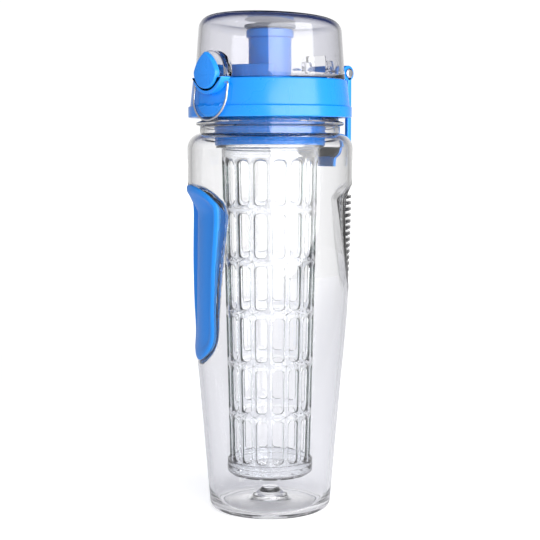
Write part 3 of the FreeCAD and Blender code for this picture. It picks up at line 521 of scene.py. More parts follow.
palm_floor = softened(
    [PALM["low"] - 6, PALM["low"] + 12, PALM["high"] - 14, PALM["high"], PALM["high"] + 6],
    [PALM["floor"] + 1.6, PALM["floor"] + 0.5, PALM["floor"] - 0.5, 43.7, 43.7],
)
finger_floor = softened(  # the distance of the flat floor from the axis
    [FINGER["low"] - 6, FINGER["deepest"], FINGER["high"], FINGER["high"] + 6],
    [FINGER["floor"] + FINGER_RUNOUT, FINGER["floor"], 43.9, 43.9],
)


def mirrored(right):
    """A closed loop from its right half, listed from bottom to top."""
    return smooth_loop(right + [(-u, z) for u, z in reversed(right[1:-1])], 8)


def palm_loop():
    half, low, high = PALM["half"], PALM["low"], PALM["high"]
    return mirrored([
        (0.0, low), (half * 0.44, low + 4), (half * 0.72, low + 12), (half * 0.80, low + 28),
        (half * 0.88, low + 47), (half, high - 15), (half * 0.88, high - 7), (half * 0.5, high - 1.5),
        (0.0, high),
    ])


def finger_loop():
    half, low, high = FINGER["half"], FINGER["low"], FINGER["high"]
    return mirrored([
        (0.0, low), (half * 0.6, low + 6), (half * 0.9, low + 22), (half, high - 14), (half * 0.8, high - 4),
        (0.0, high),
    ])


def depth_inside(loop, across, height):
    """How far inside a closed loop each point is; negative outside."""
    across, height = across.ravel(), height.ravel()
    nearest = np.full(across.shape, 1e9)
    inside = np.zeros(across.shape, bool)
    for (u0, z0), (u1, z1) in zip(loop, loop[1:] + loop[:1]):
        du, dz = u1 - u0, z1 - z0
        share = np.clip(((across - u0) * du + (height - z0) * dz) / (du * du + dz * dz), 0, 1)
        away = np.hypot(across - u0 - share * du, height - z0 - share * dz)
        nearest = np.minimum(nearest, away)
        crosses = (z0 > height) != (z1 > height)
        side = across < u0 + (height - z0) * du / (dz if dz else 1e-9)
        inside ^= crosses & side
    return np.where(inside, nearest, -nearest)


def eased(share):
    share = np.clip(share, 0.0, 1.0)
    return share * share * (3 - 2 * share)


def recessed(radius, angle, height, inner):
    """The bottle's radius after the two hand recesses; inner moves them in by the wall."""
    wall = WALL if inner else 0.0
    for place, loop, floor in ((PALM, palm_loop(), palm_floor), (FINGER, finger_loop(), finger_floor)):
        off = (angle - math.radians(place["angle"]) + math.pi) % TURN - math.pi
        across = np.where(np.abs(off) < 1.2, 42.0 * np.sin(off), 99.0)
        depth = depth_inside(loop, across, height).reshape(radius.shape) + wall
        flat = np.maximum(np.cos(off), 0.3) if place is FINGER else 1.0
        bottom = np.minimum((floor(height) - wall) / flat, radius)
        radius = radius - (radius - bottom) * eased(depth / (RECESS_EDGE + wall * 0.4))
    return radius


def neck_outside():
    """The outside of the neck from the shoulder to the lip, with its bead and thread."""
    corners = [(36.9, 199.9, 1.0), (36.9, 203.3, 0.3), (38.9, 204.1, 0.5), (38.9, 205.5, 0.5),
               (36.2, 206.3, 0.3)]
    for ridge in range(3):
        low = LIP_HEIGHT - 11.5 + 3.6 * ridge
        corners += [
            (THREAD_ROOT, low, 0.2), (THREAD_CREST, low + 0.6, 0.25),
            (THREAD_CREST, low + 1.2, 0.25), (THREAD_ROOT, low + 1.8, 0.2),
        ]
    return corners + [(THREAD_ROOT, LIP_HEIGHT, 0.6)]


def bottle_outline():
    """Rows of radius and height from the middle of the base, up the outside and down the inside."""
    recess_low, recess_high = 77.0, 178.0
    base = rounded([(0, 3.4), (25.0, 0.6, 0.6), (26.0, 0.0, 0.4), (29.0, 0.0, 1.0)], closed=False)
    base = filled_in(base, 5.0) + arc_between((29.0, 0.0), (32.4, 3.0), 3.45, 6)[1:]
    flank = [(float(skin_radius(z)), float(z)) for z in np.arange(6.0, recess_low, 5.0)]
    hands = [(float(skin_radius(z)), float(z)) for z in np.arange(recess_low, recess_high, 1.05)]
    body = [(43.5, z) for z in (180.0, 185.0, 189.0)]
    shoulder = arc_between((43.5, 192.0), (36.9, 199.9), 8.0, 9)
    neck = rounded(neck_outside() + [(34.0, LIP_HEIGHT, 0.6)], steps=3, closed=False)
    outside = base + flank + hands + body + shoulder + neck[1:]
    inside = rounded([(34.0, LIP_HEIGHT, 0.6), (34.0, 207.8, 1.5), (34.7, 206.3, 1.5), (34.7, 198.0, 1.0)],
                     closed=False)[1:-1]
    inside += arc_between((41.3, 192.0), (34.7, 198.0), 6.2, 8)[::-1]
    inside += [(41.3, z) for z in (188.0, 184.0, 180.0)]
    inside += [(r - WALL, z) for r, z in reversed(hands)]
    inside += [(r - WALL, z) for r, z in reversed(flank)]
    floor = [(30.6, 5.2, 1.5), (28.0, 2.2, 1.5), (25.0, 2.2, 1.0), (9.6, 4.8, 0.4), (9.2, 6.4, 0.3),
             (7.6, 6.8, 0.4), (5.7, 8.5, 0.5), (4.2, 10.0, 0.5), (0.0, 10.0)]
    inside += filled_in(rounded(floor, closed=False)[1:], 4.0)
    return outside, inside


def make_bottle():
    outside, inside = bottle_outline()
    steps = 236
    angle = np.arange(steps) * TURN / steps
    verts, rings = [], []
    for rows, inner in ((outside, False), (inside, True)):
        radii = np.array([r for r, z in rows])[:, None] + np.zeros(steps)
        heights = np.array([z for r, z in rows])[:, None] + np.zeros(steps)
        radii = recessed(radii, angle + np.zeros(radii.shape), heights, inner)
        for (radius, height), ring in zip(rows, radii):
            if radius < ON_AXIS:
                rings.append([len(verts)])
                verts.append((0, 0, height))
                continue
            rings.append(list(range(len(verts), len(verts) + steps)))
            verts += [(r * math.cos(t), r * math.sin(t), height) for r, t in zip(ring, angle)]
    shell = finished("clear_bottle", verts, ring_faces(rings, closed=False), 50.0)
    finish_piece(shell, "bottle", CLEAR_BODY, "clear_body", "bottle_body")


def lining(name, place, loop, spine, top, under, lip):
    """A sheet in a hand recess. top and under give its radius from the depth inside the loop and height."""
    low, high = spine
    rows = [(depth, None) for depth in lip]
    rows += [(lip[-1], share) for share in (0.12, 0.26, 0.42, 0.6, 0.8, 1.0)]
    turn = math.radians(place["angle"])

    def lifted(u, z, radius):
        if place is FINGER:
            radius = min(math.hypot(radius, u), float(skin_radius(z)) - 0.4)
        radius = max(radius, abs(u) + 0.1)
        angle = turn + math.asin(u / radius)
        return (radius * math.cos(angle), radius * math.sin(angle), z)

    def sheet(radius_of, order):
        points, loops = [], []
        for depth, share in order:
            edge = inset_loop(loop, depth)
            loops.append(len(points))
            for u, z in edge:
                if share is not None:
                    u, z = u * (1 - share), z + (min(max(z, low), high) - z) * share
                inwards = depth if share is None else depth + 20.0 * share
                points.append(lifted(u, z, float(radius_of(inwards, z))))
        return points, loops

    count = len(loop)
    upper, upper_rows = sheet(top, rows)
    lower, lower_rows = sheet(under, list(reversed(rows)))
    starts = upper_rows[::-1] + [len(upper) + s for s in reversed(lower_rows)]
    rings = [list(range(s, s + count)) for s in starts]
    return finished(name, upper + lower, ring_faces(rings, closed=False), 55.0)


def make_palm_pad():
    """The soft pad: a hollowed floor and a rounded lip that stands a little out of the bottle."""

    def top(depth, height):
        floor = palm_floor(height) + PALM["pad"]
        crest = skin_radius(height) + PALM["proud"]
        edge = 0.55 * (1 - eased(depth / 0.7))
        return floor + (crest - floor) * (1 - eased((depth - 1.5) / 4.2)) - edge

    def under(depth, height):
        floor = palm_floor(height) + 0.1
        return floor + (skin_radius(height) - 1.5 - floor) * (1 - eased((depth - 0.3) / 3.0))

    lip = [0.0, 0.18, 0.45, 0.9, 1.4, 1.9, 2.5, 3.1, 3.8, 4.6, 5.6]
    pad = lining("palm_pad", PALM, palm_loop(), (PALM["low"] + 24, PALM["high"] - 24), top, under, lip)
    finish_piece(pad, "bottle", SOFT_BLUE, "blue_soft", "palm_grip")


# ---- geometry node trees ----


def new_tree(name, inputs):
    tree = bpy.data.node_groups.new(name, "GeometryNodeTree")
    tree.interface.new_socket("Geometry", in_out="INPUT", socket_type="NodeSocketGeometry")
    for label, kind, value in inputs:
        socket = tree.interface.new_socket(label, in_out="INPUT", socket_type=kind)
        if value is not None:
            socket.default_value = value
    tree.interface.new_socket("Geometry", in_out="OUTPUT", socket_type="NodeSocketGeometry")
    return tree, tree.nodes.new("NodeGroupInput"), tree.nodes.new("NodeGroupOutput")


def run_tree(obj, tree, values):
    """Puts a tree on an object with its inputs set by their identifiers."""
    change = obj.modifiers.new(tree.name, "NODES")
    change.node_group = tree
    for item in tree.interface.items_tree:
        if item.in_out == "INPUT" and item.name in values:
            change[item.identifier] = values[item.name]
    return obj


def named(tree, label, kind="FLOAT"):
    node = add_node(tree, "GeometryNodeInputNamedAttribute", data_type=kind)
    node.inputs["Name"].default_value = label
    return next(s for s in node.outputs if s.enabled)


def around_axis(tree, angle, radius, height):
    """A place from its angle, radius and height."""
    join = tree.nodes.new("ShaderNodeCombineXYZ")
    tree.links.new(maths(tree, "MULTIPLY", radius, maths(tree, "COSINE", angle)), join.inputs["X"])
    tree.links.new(maths(tree, "MULTIPLY", radius, maths(tree, "SINE", angle)), join.inputs["Y"])
    tree.links.new(height, join.inputs["Z"])
    return join.outputs[0]


def split_place(tree):
    split = tree.nodes.new("ShaderNodeSeparateXYZ")
    tree.links.new(tree.nodes.new("GeometryNodeInputPosition").outputs[0], split.inputs[0])
    return split.outputs["X"], split.outputs["Y"], split.outputs["Z"]


def end_tree(tree, geometry, inside, outside):
    real = tree.nodes.new("GeometryNodeRealizeInstances")
    paint = tree.nodes.new("GeometryNodeSetMaterial")
    tree.links.new(geometry, real.inputs[0])
    tree.links.new(real.outputs[0], paint.inputs["Geometry"])
    tree.links.new(inside.outputs["Material"], paint.inputs["Material"])
    tree.links.new(paint.outputs[0], outside.inputs[0])


def finger_rib_tree():
    """One level rib on each point, fitted to the width, floor and skin that the point carries."""
    tree, inside, outside = new_tree("finger_rib_rows", [
        ("Rib", "NodeSocketObject", None), ("Direction", "NodeSocketFloat", 0.0),
        ("Material", "NodeSocketMaterial", None),
    ])
    info = tree.nodes.new("GeometryNodeObjectInfo")
    spread = tree.nodes.new("GeometryNodeInstanceOnPoints")
    real = tree.nodes.new("GeometryNodeRealizeInstances")
    bend = tree.nodes.new("GeometryNodeSetPosition")
    across, out, height = split_place(tree)
    skin, floor = named(tree, "skin"), named(tree, "floor")
    angle = maths(tree, "DIVIDE", maths(tree, "MULTIPLY", across, named(tree, "half_width")), skin)
    base = maths(tree, "DIVIDE", floor, maths(tree, "COSINE", angle))
    radius = maths(tree, "MULTIPLY_ADD", out, maths(tree, "SUBTRACT", skin, base), base)
    spot = around_axis(tree, maths(tree, "ADD", angle, inside.outputs["Direction"]), radius, height)
    tree.links.new(inside.outputs["Rib"], info.inputs["Object"])
    tree.links.new(inside.outputs["Geometry"], spread.inputs["Points"])
    tree.links.new(info.outputs["Geometry"], spread.inputs["Instance"])
    tree.links.new(spread.outputs[0], real.inputs[0])
    tree.links.new(real.outputs[0], bend.inputs["Geometry"])
    tree.links.new(spot, bend.inputs["Position"])
    end_tree(tree, bend.outputs[0], inside, outside)
    return tree


def rib_bar():
    """A rounded bar, one unit to each side and one unit deep, 1.9 mm high."""
    half = 0.95
    section = rounded([(0.02, -half, 0.3), (1.0, -half, 0.3), (1.0, half, 0.3), (0.02, half, 0.3)], steps=2)
    stations = [(-1.0, 0.8), (-0.98, 1.0)] + [(k / 8, 1.0) for k in range(-7, 8)] + [(0.98, 1.0), (1.0, 0.8)]
    path = {"stations": stations, "middle": (0.5, 0.0), "lift": lambda share, out, up: (share, out, up)}
    bar = swept("rib_bar", section, path)
    for vertex in bar.data.vertices:  # only the height is a real length; the rest is scaled by the points
        vertex.co.x /= MM
        vertex.co.y /= MM
    return bar


def make_finger_ribs():
    count, pitch, least = 15, 3.2, 2.0
    loop = finger_loop()
    heights, widths = [], []
    for z in (FINGER["low"] + 3.95 + pitch * k for k in range(count)):
        skin = float(skin_radius(z)) - 0.4
        reach = skin * math.acos(min(1.0, (float(finger_floor(z)) + 0.5) / (skin - 0.1)))
        width = min(max(u for u, height in loop if abs(height - z) < 1.6) - 0.7, reach)
        if width > least:
            heights.append(z)
            widths.append(width)
    rows = bpy.data.meshes.new("rib_points")
    rows.from_pydata([(0, 0, z * MM) for z in heights], [], [])
    values = {
        "half_width": [w * MM for w in widths],
        "floor": [(float(finger_floor(z)) + 0.5) * MM for z in heights],
        "skin": [(float(skin_radius(z)) - 0.4) * MM for z in heights],
    }
    for label, numbers in values.items():
        rows.attributes.new(label, "FLOAT", "POINT").data.foreach_set("value", numbers)
    holder = bpy.data.objects.new("rib_points", rows)
    bpy.context.scene.collection.objects.link(holder)
    bar = rib_bar()
    run_tree(holder, finger_rib_tree(), {
        "Rib": bar, "Direction": math.radians(FINGER["angle"]), "Material": CLEAR_RIBS,
    })
    ribs = settled("finger_rib_bars", holder)
    bpy.data.objects.remove(bar)

    def top(_, height):
        return finger_floor(height) + 0.8

    def under(_, height):
        return finger_floor(height) + 0.08

    sheet = lining("finger_sheet", FINGER, inset_loop(loop, 0.6),
    (FINGER["low"] + 18, FINGER["high"] - 16), top,
                   under, [0.0, 0.4, 1.2, 2.6, 4.5])
    both = together("finger_ribs_clear", [ribs, sheet], 40.0)
    finish_piece(both, "bottle", CLEAR_RIBS, "clear_ribs", "finger_ribs")


# ---- the infuser ----


def slot_tile():
    """One slot in its share of the wall, drawn flat: across, depth from the outside, and up."""
    half_tile = math.pi * (INFUSER_TOP[0] + INFUSER_FOOT[0]) / 2 / SLOT_COLUMNS
    half_pitch = SLOT_PITCH / 2
    straight, corner, short = 8, 6, 4
    inner_x, inner_z = SLOT_HALF_WIDTH - SLOT_BEND, SLOT_HALF_LENGTH - SLOT_BEND
    hole, border, outward = [], [], []

    def side(x0, z0, x1, z1, steps, away):
        for k in range(steps):
            share = k / steps
            hole.append((x0 + (x1 - x0) * share, z0 + (z1 - z0) * share))
            outward.append(away)
            x, z = hole[-1]
            border.append((half_tile * away[0] if away[0] else x, half_pitch * away[1] if away[1] else z))

    def bend(sx, sz, first):
        """A quarter turn round the corner in the direction sx, sz, from the angle first."""
        for k in range(corner):
            angle = first + math.pi / 2 * k / corner
            cx, cz = math.cos(angle), math.sin(angle)
            hole.append((inner_x * sx + SLOT_BEND * cx, inner_z * sz + SLOT_BEND * cz))
            outward.append((cx, cz))
            near_side = abs(cx) >= abs(cz) - 1e-6
            if near_side:
                reach = abs(math.atan2(abs(cz), abs(cx))) / (math.pi / 4)
                border.append((half_tile * sx, (inner_z + (half_pitch - inner_z) * reach) * sz))
            else:
                reach = abs(math.atan2(abs(cx), abs(cz))) / (math.pi / 4)
                border.append(((inner_x + (half_tile - inner_x) * reach) * sx, half_pitch * sz))

    side(SLOT_HALF_WIDTH, -inner_z, SLOT_HALF_WIDTH, inner_z, straight, (1, 0))
    bend(1, 1, 0.0)
    side(inner_x, SLOT_HALF_LENGTH, -inner_x, SLOT_HALF_LENGTH, short, (0, 1))
    bend(-1, 1, math.pi / 2)
    side(-SLOT_HALF_WIDTH, inner_z, -SLOT_HALF_WIDTH, -inner_z, straight, (-1, 0))
    bend(-1, -1, math.pi)
    side(-inner_x, -SLOT_HALF_LENGTH, inner_x, -SLOT_HALF_LENGTH, short, (0, -1))
    bend(1, -1, math.pi * 1.5)

    def grown(distance, depth):
        return [(x + a * distance, depth, z + b * distance) for (x, z), (a, b) in zip(hole, outward)]

    wall, ease = INFUSER_WALL, 0.5
    layers = [[(x, 0.0, z) for x, z in border], grown(ease, 0.0), grown(ease * 0.3, ease * 0.3),
              grown(0.0, ease), grown(0.0, wall - ease), grown(ease * 0.3, wall - ease * 0.3),
              grown(ease, wall),
              [(x, wall, z) for x, z in border]]
    verts, rings = [], []
    for layer in layers:
        rings.append(list(range(len(verts), len(verts) + len(layer))))
        verts += layer
    return finished("slot_tile", verts, ring_faces(rings, closed=False), recalculate=False)


def slotted_wall_tree():
    """The tile repeated in columns and rows, then rolled up into a cone."""
    tree, inside, outside = new_tree("slotted_wall", [
        ("Columns", "NodeSocketInt", 16), ("Rows", "NodeSocketInt", 6),
        ("Tile Width", "NodeSocketFloat", 0.01),
        ("Pitch", "NodeSocketFloat", 0.027), ("Middle Height", "NodeSocketFloat", 0.1),
        ("Foot Radius", "NodeSocketFloat", 0.02), ("Foot Height", "NodeSocketFloat", 0.02),
        ("Flare", "NodeSocketFloat", 0.02), ("Material", "NodeSocketMaterial", None),
    ])
    size_x = maths(tree, "MULTIPLY", inside.outputs["Tile Width"],
                   maths(tree, "SUBTRACT", inside.outputs["Columns"], 1.0))
    size_z = maths(tree, "MULTIPLY", inside.outputs["Pitch"],
                   maths(tree, "SUBTRACT", inside.outputs["Rows"], 1.0))
    grid = tree.nodes.new("GeometryNodeMeshGrid")
    for label, value in (("Size X", size_x), ("Size Y", size_z), ("Vertices X", inside.outputs["Columns"]),
                         ("Vertices Y", inside.outputs["Rows"])):
        tree.links.new(value, grid.inputs[label])
    upright = tree.nodes.new("GeometryNodeTransform")
    upright.inputs["Rotation"].default_value = (math.pi / 2, 0, 0)
    spread = tree.nodes.new("GeometryNodeInstanceOnPoints")
    real = tree.nodes.new("GeometryNodeRealizeInstances")
    roll = tree.nodes.new("GeometryNodeSetPosition")
    across, depth, up = split_place(tree)
    height = maths(tree, "ADD", up, inside.outputs["Middle Height"])
    whole = maths(tree, "MULTIPLY", inside.outputs["Tile Width"], inside.outputs["Columns"])
    angle = maths(tree, "DIVIDE", maths(tree, "MULTIPLY", across, TURN), whole)
    rise = maths(tree, "SUBTRACT", height, inside.outputs["Foot Height"])
    radius = maths(tree, "MULTIPLY_ADD", rise, inside.outputs["Flare"], inside.outputs["Foot Radius"])
    spot = around_axis(tree, angle, maths(tree, "SUBTRACT", radius, depth), height)
    weld = tree.nodes.new("GeometryNodeMergeByDistance")
    weld.inputs["Distance"].default_value = 1e-6
    tree.links.new(grid.outputs["Mesh"], upright.inputs["Geometry"])
    tree.links.new(upright.outputs[0], spread.inputs["Points"])
    tree.links.new(inside.outputs["Geometry"], spread.inputs["Instance"])
    tree.links.new(spread.outputs[0], real.inputs[0])
    tree.links.new(real.outputs[0], roll.inputs["Geometry"])
    tree.links.new(spot, roll.inputs["Position"])
    tree.links.new(roll.outputs[0], weld.inputs["Geometry"])
    end_tree(tree, weld.outputs[0], inside, outside)
    return tree


def infuser_radius(height):
    (top, high), (foot, low) = INFUSER_TOP, INFUSER_FOOT
    return foot + (top - foot) * (height - low) / (high - low)


def border_angles(tile):
    """The angles of the points along a tile's top edge, all the way round."""
    width = max(v.co.x for v in tile.data.vertices) * 2
    high = max(v.co.z for v in tile.data.vertices)
    xs = sorted({round(v.co.x, 7) for v in tile.data.vertices if v.co.z > high - 1e-7})
    angles = set()
    first = -width * (SLOT_COLUMNS - 1) / 2
    for column in range(SLOT_COLUMNS):
        angles |= {round((first + column * width + x) / (width * SLOT_COLUMNS) * TURN, 7) for x in xs}
    ordered = sorted(angles)
    return ordered[:-1]


def open_turned(name, outline, angles):
    """An open skin turned about Z through the given angles, its outline not closed."""
    verts, rings = [], []
    for radius, height in outline:
        rings.append(list(range(len(verts), len(verts) + len(angles))))
        verts += [(radius * math.cos(t), radius * math.sin(t), height) for t in angles]
    return finished(name, verts, ring_faces(rings, closed=False), recalculate=False)


def mark_slot_edges(tube, low, high):
    """Marks the points that lie within the wall's thickness, which are the slots' cut edges."""
    marks, skin = [], 0.2
    for vertex in tube.data.vertices:
        x, y, z = vertex.co / MM
        depth = infuser_radius(z) - math.hypot(x, y)
        marks.append(1.0 if low < z < high and skin < depth < INFUSER_WALL - skin else 0.0)
    # This rim mask is where the infuser's material paints its dark slot-edge shade.
    tube.data.attributes.new("rim", "FLOAT", "POINT").data.foreach_set("value", marks)


def make_infuser():
    tile = slot_tile()
    angles = border_angles(tile)
    width = max(v.co.x for v in tile.data.vertices) * 2
    wall_high = SLOT_TOP + SLOT_PITCH / 2 - SLOT_HALF_LENGTH
    wall_low = wall_high - SLOT_ROWS * SLOT_PITCH
    flare = (INFUSER_TOP[0] - INFUSER_FOOT[0]) / (INFUSER_TOP[1] - INFUSER_FOOT[1])
    run_tree(tile, slotted_wall_tree(), {
        "Columns": SLOT_COLUMNS, "Rows": SLOT_ROWS, "Tile Width": width, "Pitch": SLOT_PITCH * MM,
        "Middle Height": (wall_high + wall_low) / 2 * MM, "Foot Radius": INFUSER_FOOT[0] * MM,
        "Foot Height": INFUSER_FOOT[1] * MM, "Flare": flare, "Material": CLEAR_INFUSER,
    })
    slots = settled("slotted_wall", tile)
    wall = INFUSER_WALL
    above = rounded([
        (infuser_radius(wall_high), wall_high), (25.6, 192.2, 0.2), (28.6, 192.6, 0.3), (28.6, 194.0, 0.3),
        (26.6, 194.0, 0.2), (26.6, 196.2, 0.2), (26.2, 196.6, 0.2), (26.6, 197.2, 0.2), (26.6, 220.0, 0.4),
        (25.0, 220.0, 0.4), (25.0, 196.0, 0.6), (24.0, 192.2, 0.6),
        (infuser_radius(wall_high) - wall, wall_high),
    ], steps=3, closed=False)
    below = rounded([
        (infuser_radius(wall_low), wall_low), (21.4, 20.4, 0.4), (21.4 - wall, 20.4, 0.4),
        (infuser_radius(wall_low) - wall, wall_low),
    ], steps=3, closed=False)
    tube = together("infuser_wall", [slots, open_turned("upper", above, angles), open_turned("lower",
    below, angles)],
                    42.0)
    mark_slot_edges(tube, wall_low, wall_high)
    finish_piece(tube, "infuser", CLEAR_INFUSER, "clear_infuser", "infuser_tube")
    seal = turned("infuser_washer", rounded([(26.6, 220.05), (26.6, 223.1), (23.6, 223.1), (23.6, 220.05)]))
    finish_piece(seal, "infuser", SILICONE, "silicone", "infuser_seal")


def drain_tree():
    """Round holes cut through a floor, evenly round the axis."""
    tree, inside, outside = new_tree("drain_holes", [
        ("Holes", "NodeSocketInt", 12), ("Ring Radius", "NodeSocketFloat", 0.0165),
        ("Hole Radius", "NodeSocketFloat", 0.0012), ("Height", "NodeSocketFloat", 0.0193),
        ("Material", "NodeSocketMaterial", None),
    ])
    circle = tree.nodes.new("GeometryNodeMeshCircle")
    drill = tree.nodes.new("GeometryNodeMeshCylinder")
    drill.inputs["Vertices"].default_value = 20
    drill.inputs["Depth"].default_value = 0.006
    lift = tree.nodes.new("GeometryNodeTransform")
    join = tree.nodes.new("ShaderNodeCombineXYZ")
    spread = tree.nodes.new("GeometryNodeInstanceOnPoints")
    real = tree.nodes.new("GeometryNodeRealizeInstances")
    cutter = add_node(tree, "GeometryNodeMeshBoolean", operation="DIFFERENCE", solver="EXACT")
    tree.links.new(inside.outputs["Holes"], circle.inputs["Vertices"])
    tree.links.new(inside.outputs["Ring Radius"], circle.inputs["Radius"])
    tree.links.new(inside.outputs["Hole Radius"], drill.inputs["Radius"])
    tree.links.new(inside.outputs["Height"], join.inputs["Z"])
    tree.links.new(circle.outputs["Mesh"], lift.inputs["Geometry"])
    tree.links.new(join.outputs[0], lift.inputs["Translation"])
    tree.links.new(lift.outputs[0], spread.inputs["Points"])
    tree.links.new(drill.outputs["Mesh"], spread.inputs["Instance"])
    tree.links.new(spread.outputs[0], real.inputs[0])
    tree.links.new(inside.outputs["Geometry"], cutter.inputs["Mesh 1"])
    tree.links.new(real.outputs[0], cutter.inputs["Mesh 2"])
    end_tree(tree, cutter.outputs["Mesh"], inside, outside)
    return tree


def make_infuser_cup():
    cup = turned("infuser_cup_blank", rounded([
        (0, 18.6), (21.4, 18.6, 0.3), (22.9, 20.1, 0.5), (22.9, 23.4, 0.2), (22.6, 23.7, 0.2),
        (22.9, 24.0, 0.2),
        (22.9, 26.0, 0.3), (21.85, 26.0, 0.2), (21.85, 20.0, 0.8), (0, 20.0),
    ], steps=3), 128)
    run_tree(cup, drain_tree(), {
        "Holes": 12, "Ring Radius": 16.5 * MM, "Hole Radius": 1.2 * MM, "Height": 19.3 * MM,
        "Material": CLEAR_INFUSER,
    })
    finish_piece(settled("infuser_cup", cup), "infuser_end", CLEAR_INFUSER, "clear_infuser", "infuser_cap")


# ---- the lid ----


def ring_radius(height):
    """The outside of the lid's skirt."""
    return float(np.interp(height, [213.9, 226.6, 227.4], [41.9, 40.35, 40.3])) if height > 213.9 else 43.0


def make_skirt():
    outline = [
        (11.25, 223.5, 0.2), (38.6, 223.5, 0.5), (38.6, 217.0, 0), (37.9, 216.6, 0), (37.9, 216.1, 0),
        (38.6, 215.7, 0), (38.6, 213.4, 0), (37.9, 213.0, 0), (37.9, 212.5, 0), (38.6, 212.1, 0),
        (38.6, 207.9, 0.4), (43.0, 207.9, 0.7), (43.0, 213.5, 0.7), (41.95, 213.9, 0.25), (41.85, 214.6, 0.6),
        (40.4, 227.4, 0.9), (12.2, 227.4, 0.5), (11.25, 228.2, 0.3),
    ]
    return turned("skirt", rounded(outline), 224)


def on_front(u, v, depth):
    """Places a flat-drawn plate facing the latch side; depth counts forward from the axis."""
    return (u, -depth, v)


def circle_points(radius, centre, first, last, steps):
    """Points of a circle from one angle to another, in degrees."""
    angles = [math.radians(first + (last - first) * k / steps) for k in range(steps + 1)]
    return [(centre[0] + radius * math.cos(t), centre[1] + radius * math.sin(t)) for t in angles]


def make_pod():
    """The latch housing: a round boss, open at the top, with the button's pocket in it."""
    cut_high = 227.6
    outer, inner = 11.0, 8.75
    outer_start = math.degrees(math.asin((cut_high - LUG_CENTRE) / outer))
    inner_start = math.degrees(math.asin((cut_high - 230.1) / inner))
    outline = circle_points(outer, (0, LUG_CENTRE), outer_start, -180 - outer_start, 56)
    outline += circle_points(inner, (0, 230.1), -180 - inner_start, inner_start, 48)
    layers = [(0.0, 38.8), (0.0, 44.6), (0.12, 44.9), (0.3, 45.1), (0.6, 45.2)]
    rim = slab("pod_rim", outline, layers, on_front, 45.0)
    floor = circle_points(9.4, (0, 230.1), inner_start - 3, -177 - inner_start, 40)
    back = slab("pod_floor", floor, [(0.0, 38.8), (0.0, 41.6)], on_front)
    return [rim, back]


def make_bail_pad():
    """A thin raised pad on the skirt inside the resting bail, round at its foot and hollow under the pod."""
    half, foot, hollow = 10.6, 207.9, 10.4
    proud, buried = 0.9, -2.0
    columns, rows = 28, 18
    verts = []
    for depth_of in (lambda edge: proud - 0.4 * (1 - eased(edge / 0.5)), lambda edge: buried):
        for j in range(rows + 1):
            for k in range(columns + 1):
                u = half * math.sin(math.pi / 2 * (2 * k / columns - 1))
                low = foot + half - math.sqrt(max(half ** 2 - u ** 2, 0.0))
                high = min(226.0, LUG_CENTRE - math.sqrt(max(hollow ** 2 - u ** 2, 0.0)) + 0.4)
                v = low + (high - low) * j / rows
                edge = min(half - abs(u), v - low)
                radius = ring_radius(v) + float(depth_of(np.array(edge)))
                verts.append((u, -math.sqrt(radius ** 2 - u ** 2), v))
    wide, sheet = columns + 1, (columns + 1) * (rows + 1)
    faces = []
    for j in range(rows):
        for k in range(columns):
            a = j * wide + k
            faces.append([a, a + 1, a + 1 + wide, a + wide])
            faces.append([sheet + n for n in (a, a + wide, a + 1 + wide, a + 1)])
    rim = [k for k in range(wide)] + [j * wide + columns for j in range(1, rows + 1)]
    rim += [rows * wide + k for k in range(columns - 1, -1, -1)] + [j * wide for j in range(rows - 1, 0, -1)]
    for a, b in zip(rim, rim[1:] + rim[:1]):
        faces.append([b, a, sheet + a, sheet + b])
    return finished("bail_pad", verts, faces, 45.0)


def make_guard_wall():
    """The low wall on the deck behind the latch, its top edge and ends rounded, with a boss in its middle."""
    section = rounded([(27.5, 227.0), (30.5, 227.0), (30.5, 234.4, 0.8), (27.5, 234.4, 0.8)], steps=5)
    sweep = math.radians(98.0)
    first = math.radians(270.0) - sweep / 2

    def lift(share, out, up):
        angle = first + sweep * share
        return (out * math.cos(angle), out * math.sin(angle), up)

    shares = [(0.0, 0.78), (0.003, 0.9), (0.01, 0.97), (0.018, 1.0)]
    stations = shares + [(k / 36, 1.0) for k in range(1, 36)] + [(1 - s, q) for s, q in reversed(shares)]
    wall = swept("guard_wall", section, {"stations": stations, "middle": (29.0, 229.0), "lift": lift})
    boss_outline = rounded([(-3.6, 227.0), (3.6, 227.0), (3.6, 233.4, 0.9), (-3.6, 233.4, 0.9)])
    boss = slab("guard_boss", boss_outline, [(0.5, 26.7), (0.0, 27.2), (0.0, 30.7), (0.4, 31.1)], on_front)
    return [wall, boss]


def make_knuckle():
    """The hinge barrel on the lid with its foot."""
    radius = 4.5
    outline = circle_points(radius, (HINGE_Y, HINGE_Z), -25, 205, 40)
    outline += [(HINGE_Y - radius + 0.5, 228.8), (HINGE_Y - radius - 0.6, 227.2),
    (HINGE_Y - radius - 0.6, 226.0),
                (HINGE_Y + radius - 4.2, 226.0), (HINGE_Y + radius - 4.2, 227.2),
                (HINGE_Y + radius - 2.6, 228.8)]
    layers = [(0.5, -7.0), (0.15, -6.85), (0.0, -6.5), (0.0, 6.5), (0.15, 6.85), (0.5, 7.0)]
    return slab("knuckle", outline, layers, lambda u, v, depth: (depth, u, v))


def make_lid():
    parts = [make_skirt(), *make_pod(), make_bail_pad(), *make_guard_wall(), make_knuckle()]
    lid = together("lid_ring", parts, 40.0)
    finish_piece(lid, "lid", GLOSSY_BLUE, "blue_gloss", "lid_shell")


def make_collar():
    """The threaded collar that the infuser hangs from, with three grip rings."""
    corners = [(26.95, 194.4, 0.3), (29.05, 194.4, 0.3)]
    for ring in range(3):
        low = 196.4 + 3.2 * ring
        corners += [(29.05, low, 0.1), (29.55, low + 0.2, 0.15), (29.55, low + 1.0, 0.15),
        (29.05, low + 1.2, 0.1)]
    corners += [(29.05, 223.5, 0.2), (26.95, 223.5, 0.2)]
    collar = turned("threaded_collar", rounded(corners, steps=3), 160)
    finish_piece(collar, "lid", GLOSSY_BLUE, "blue_gloss", "inner_collar")


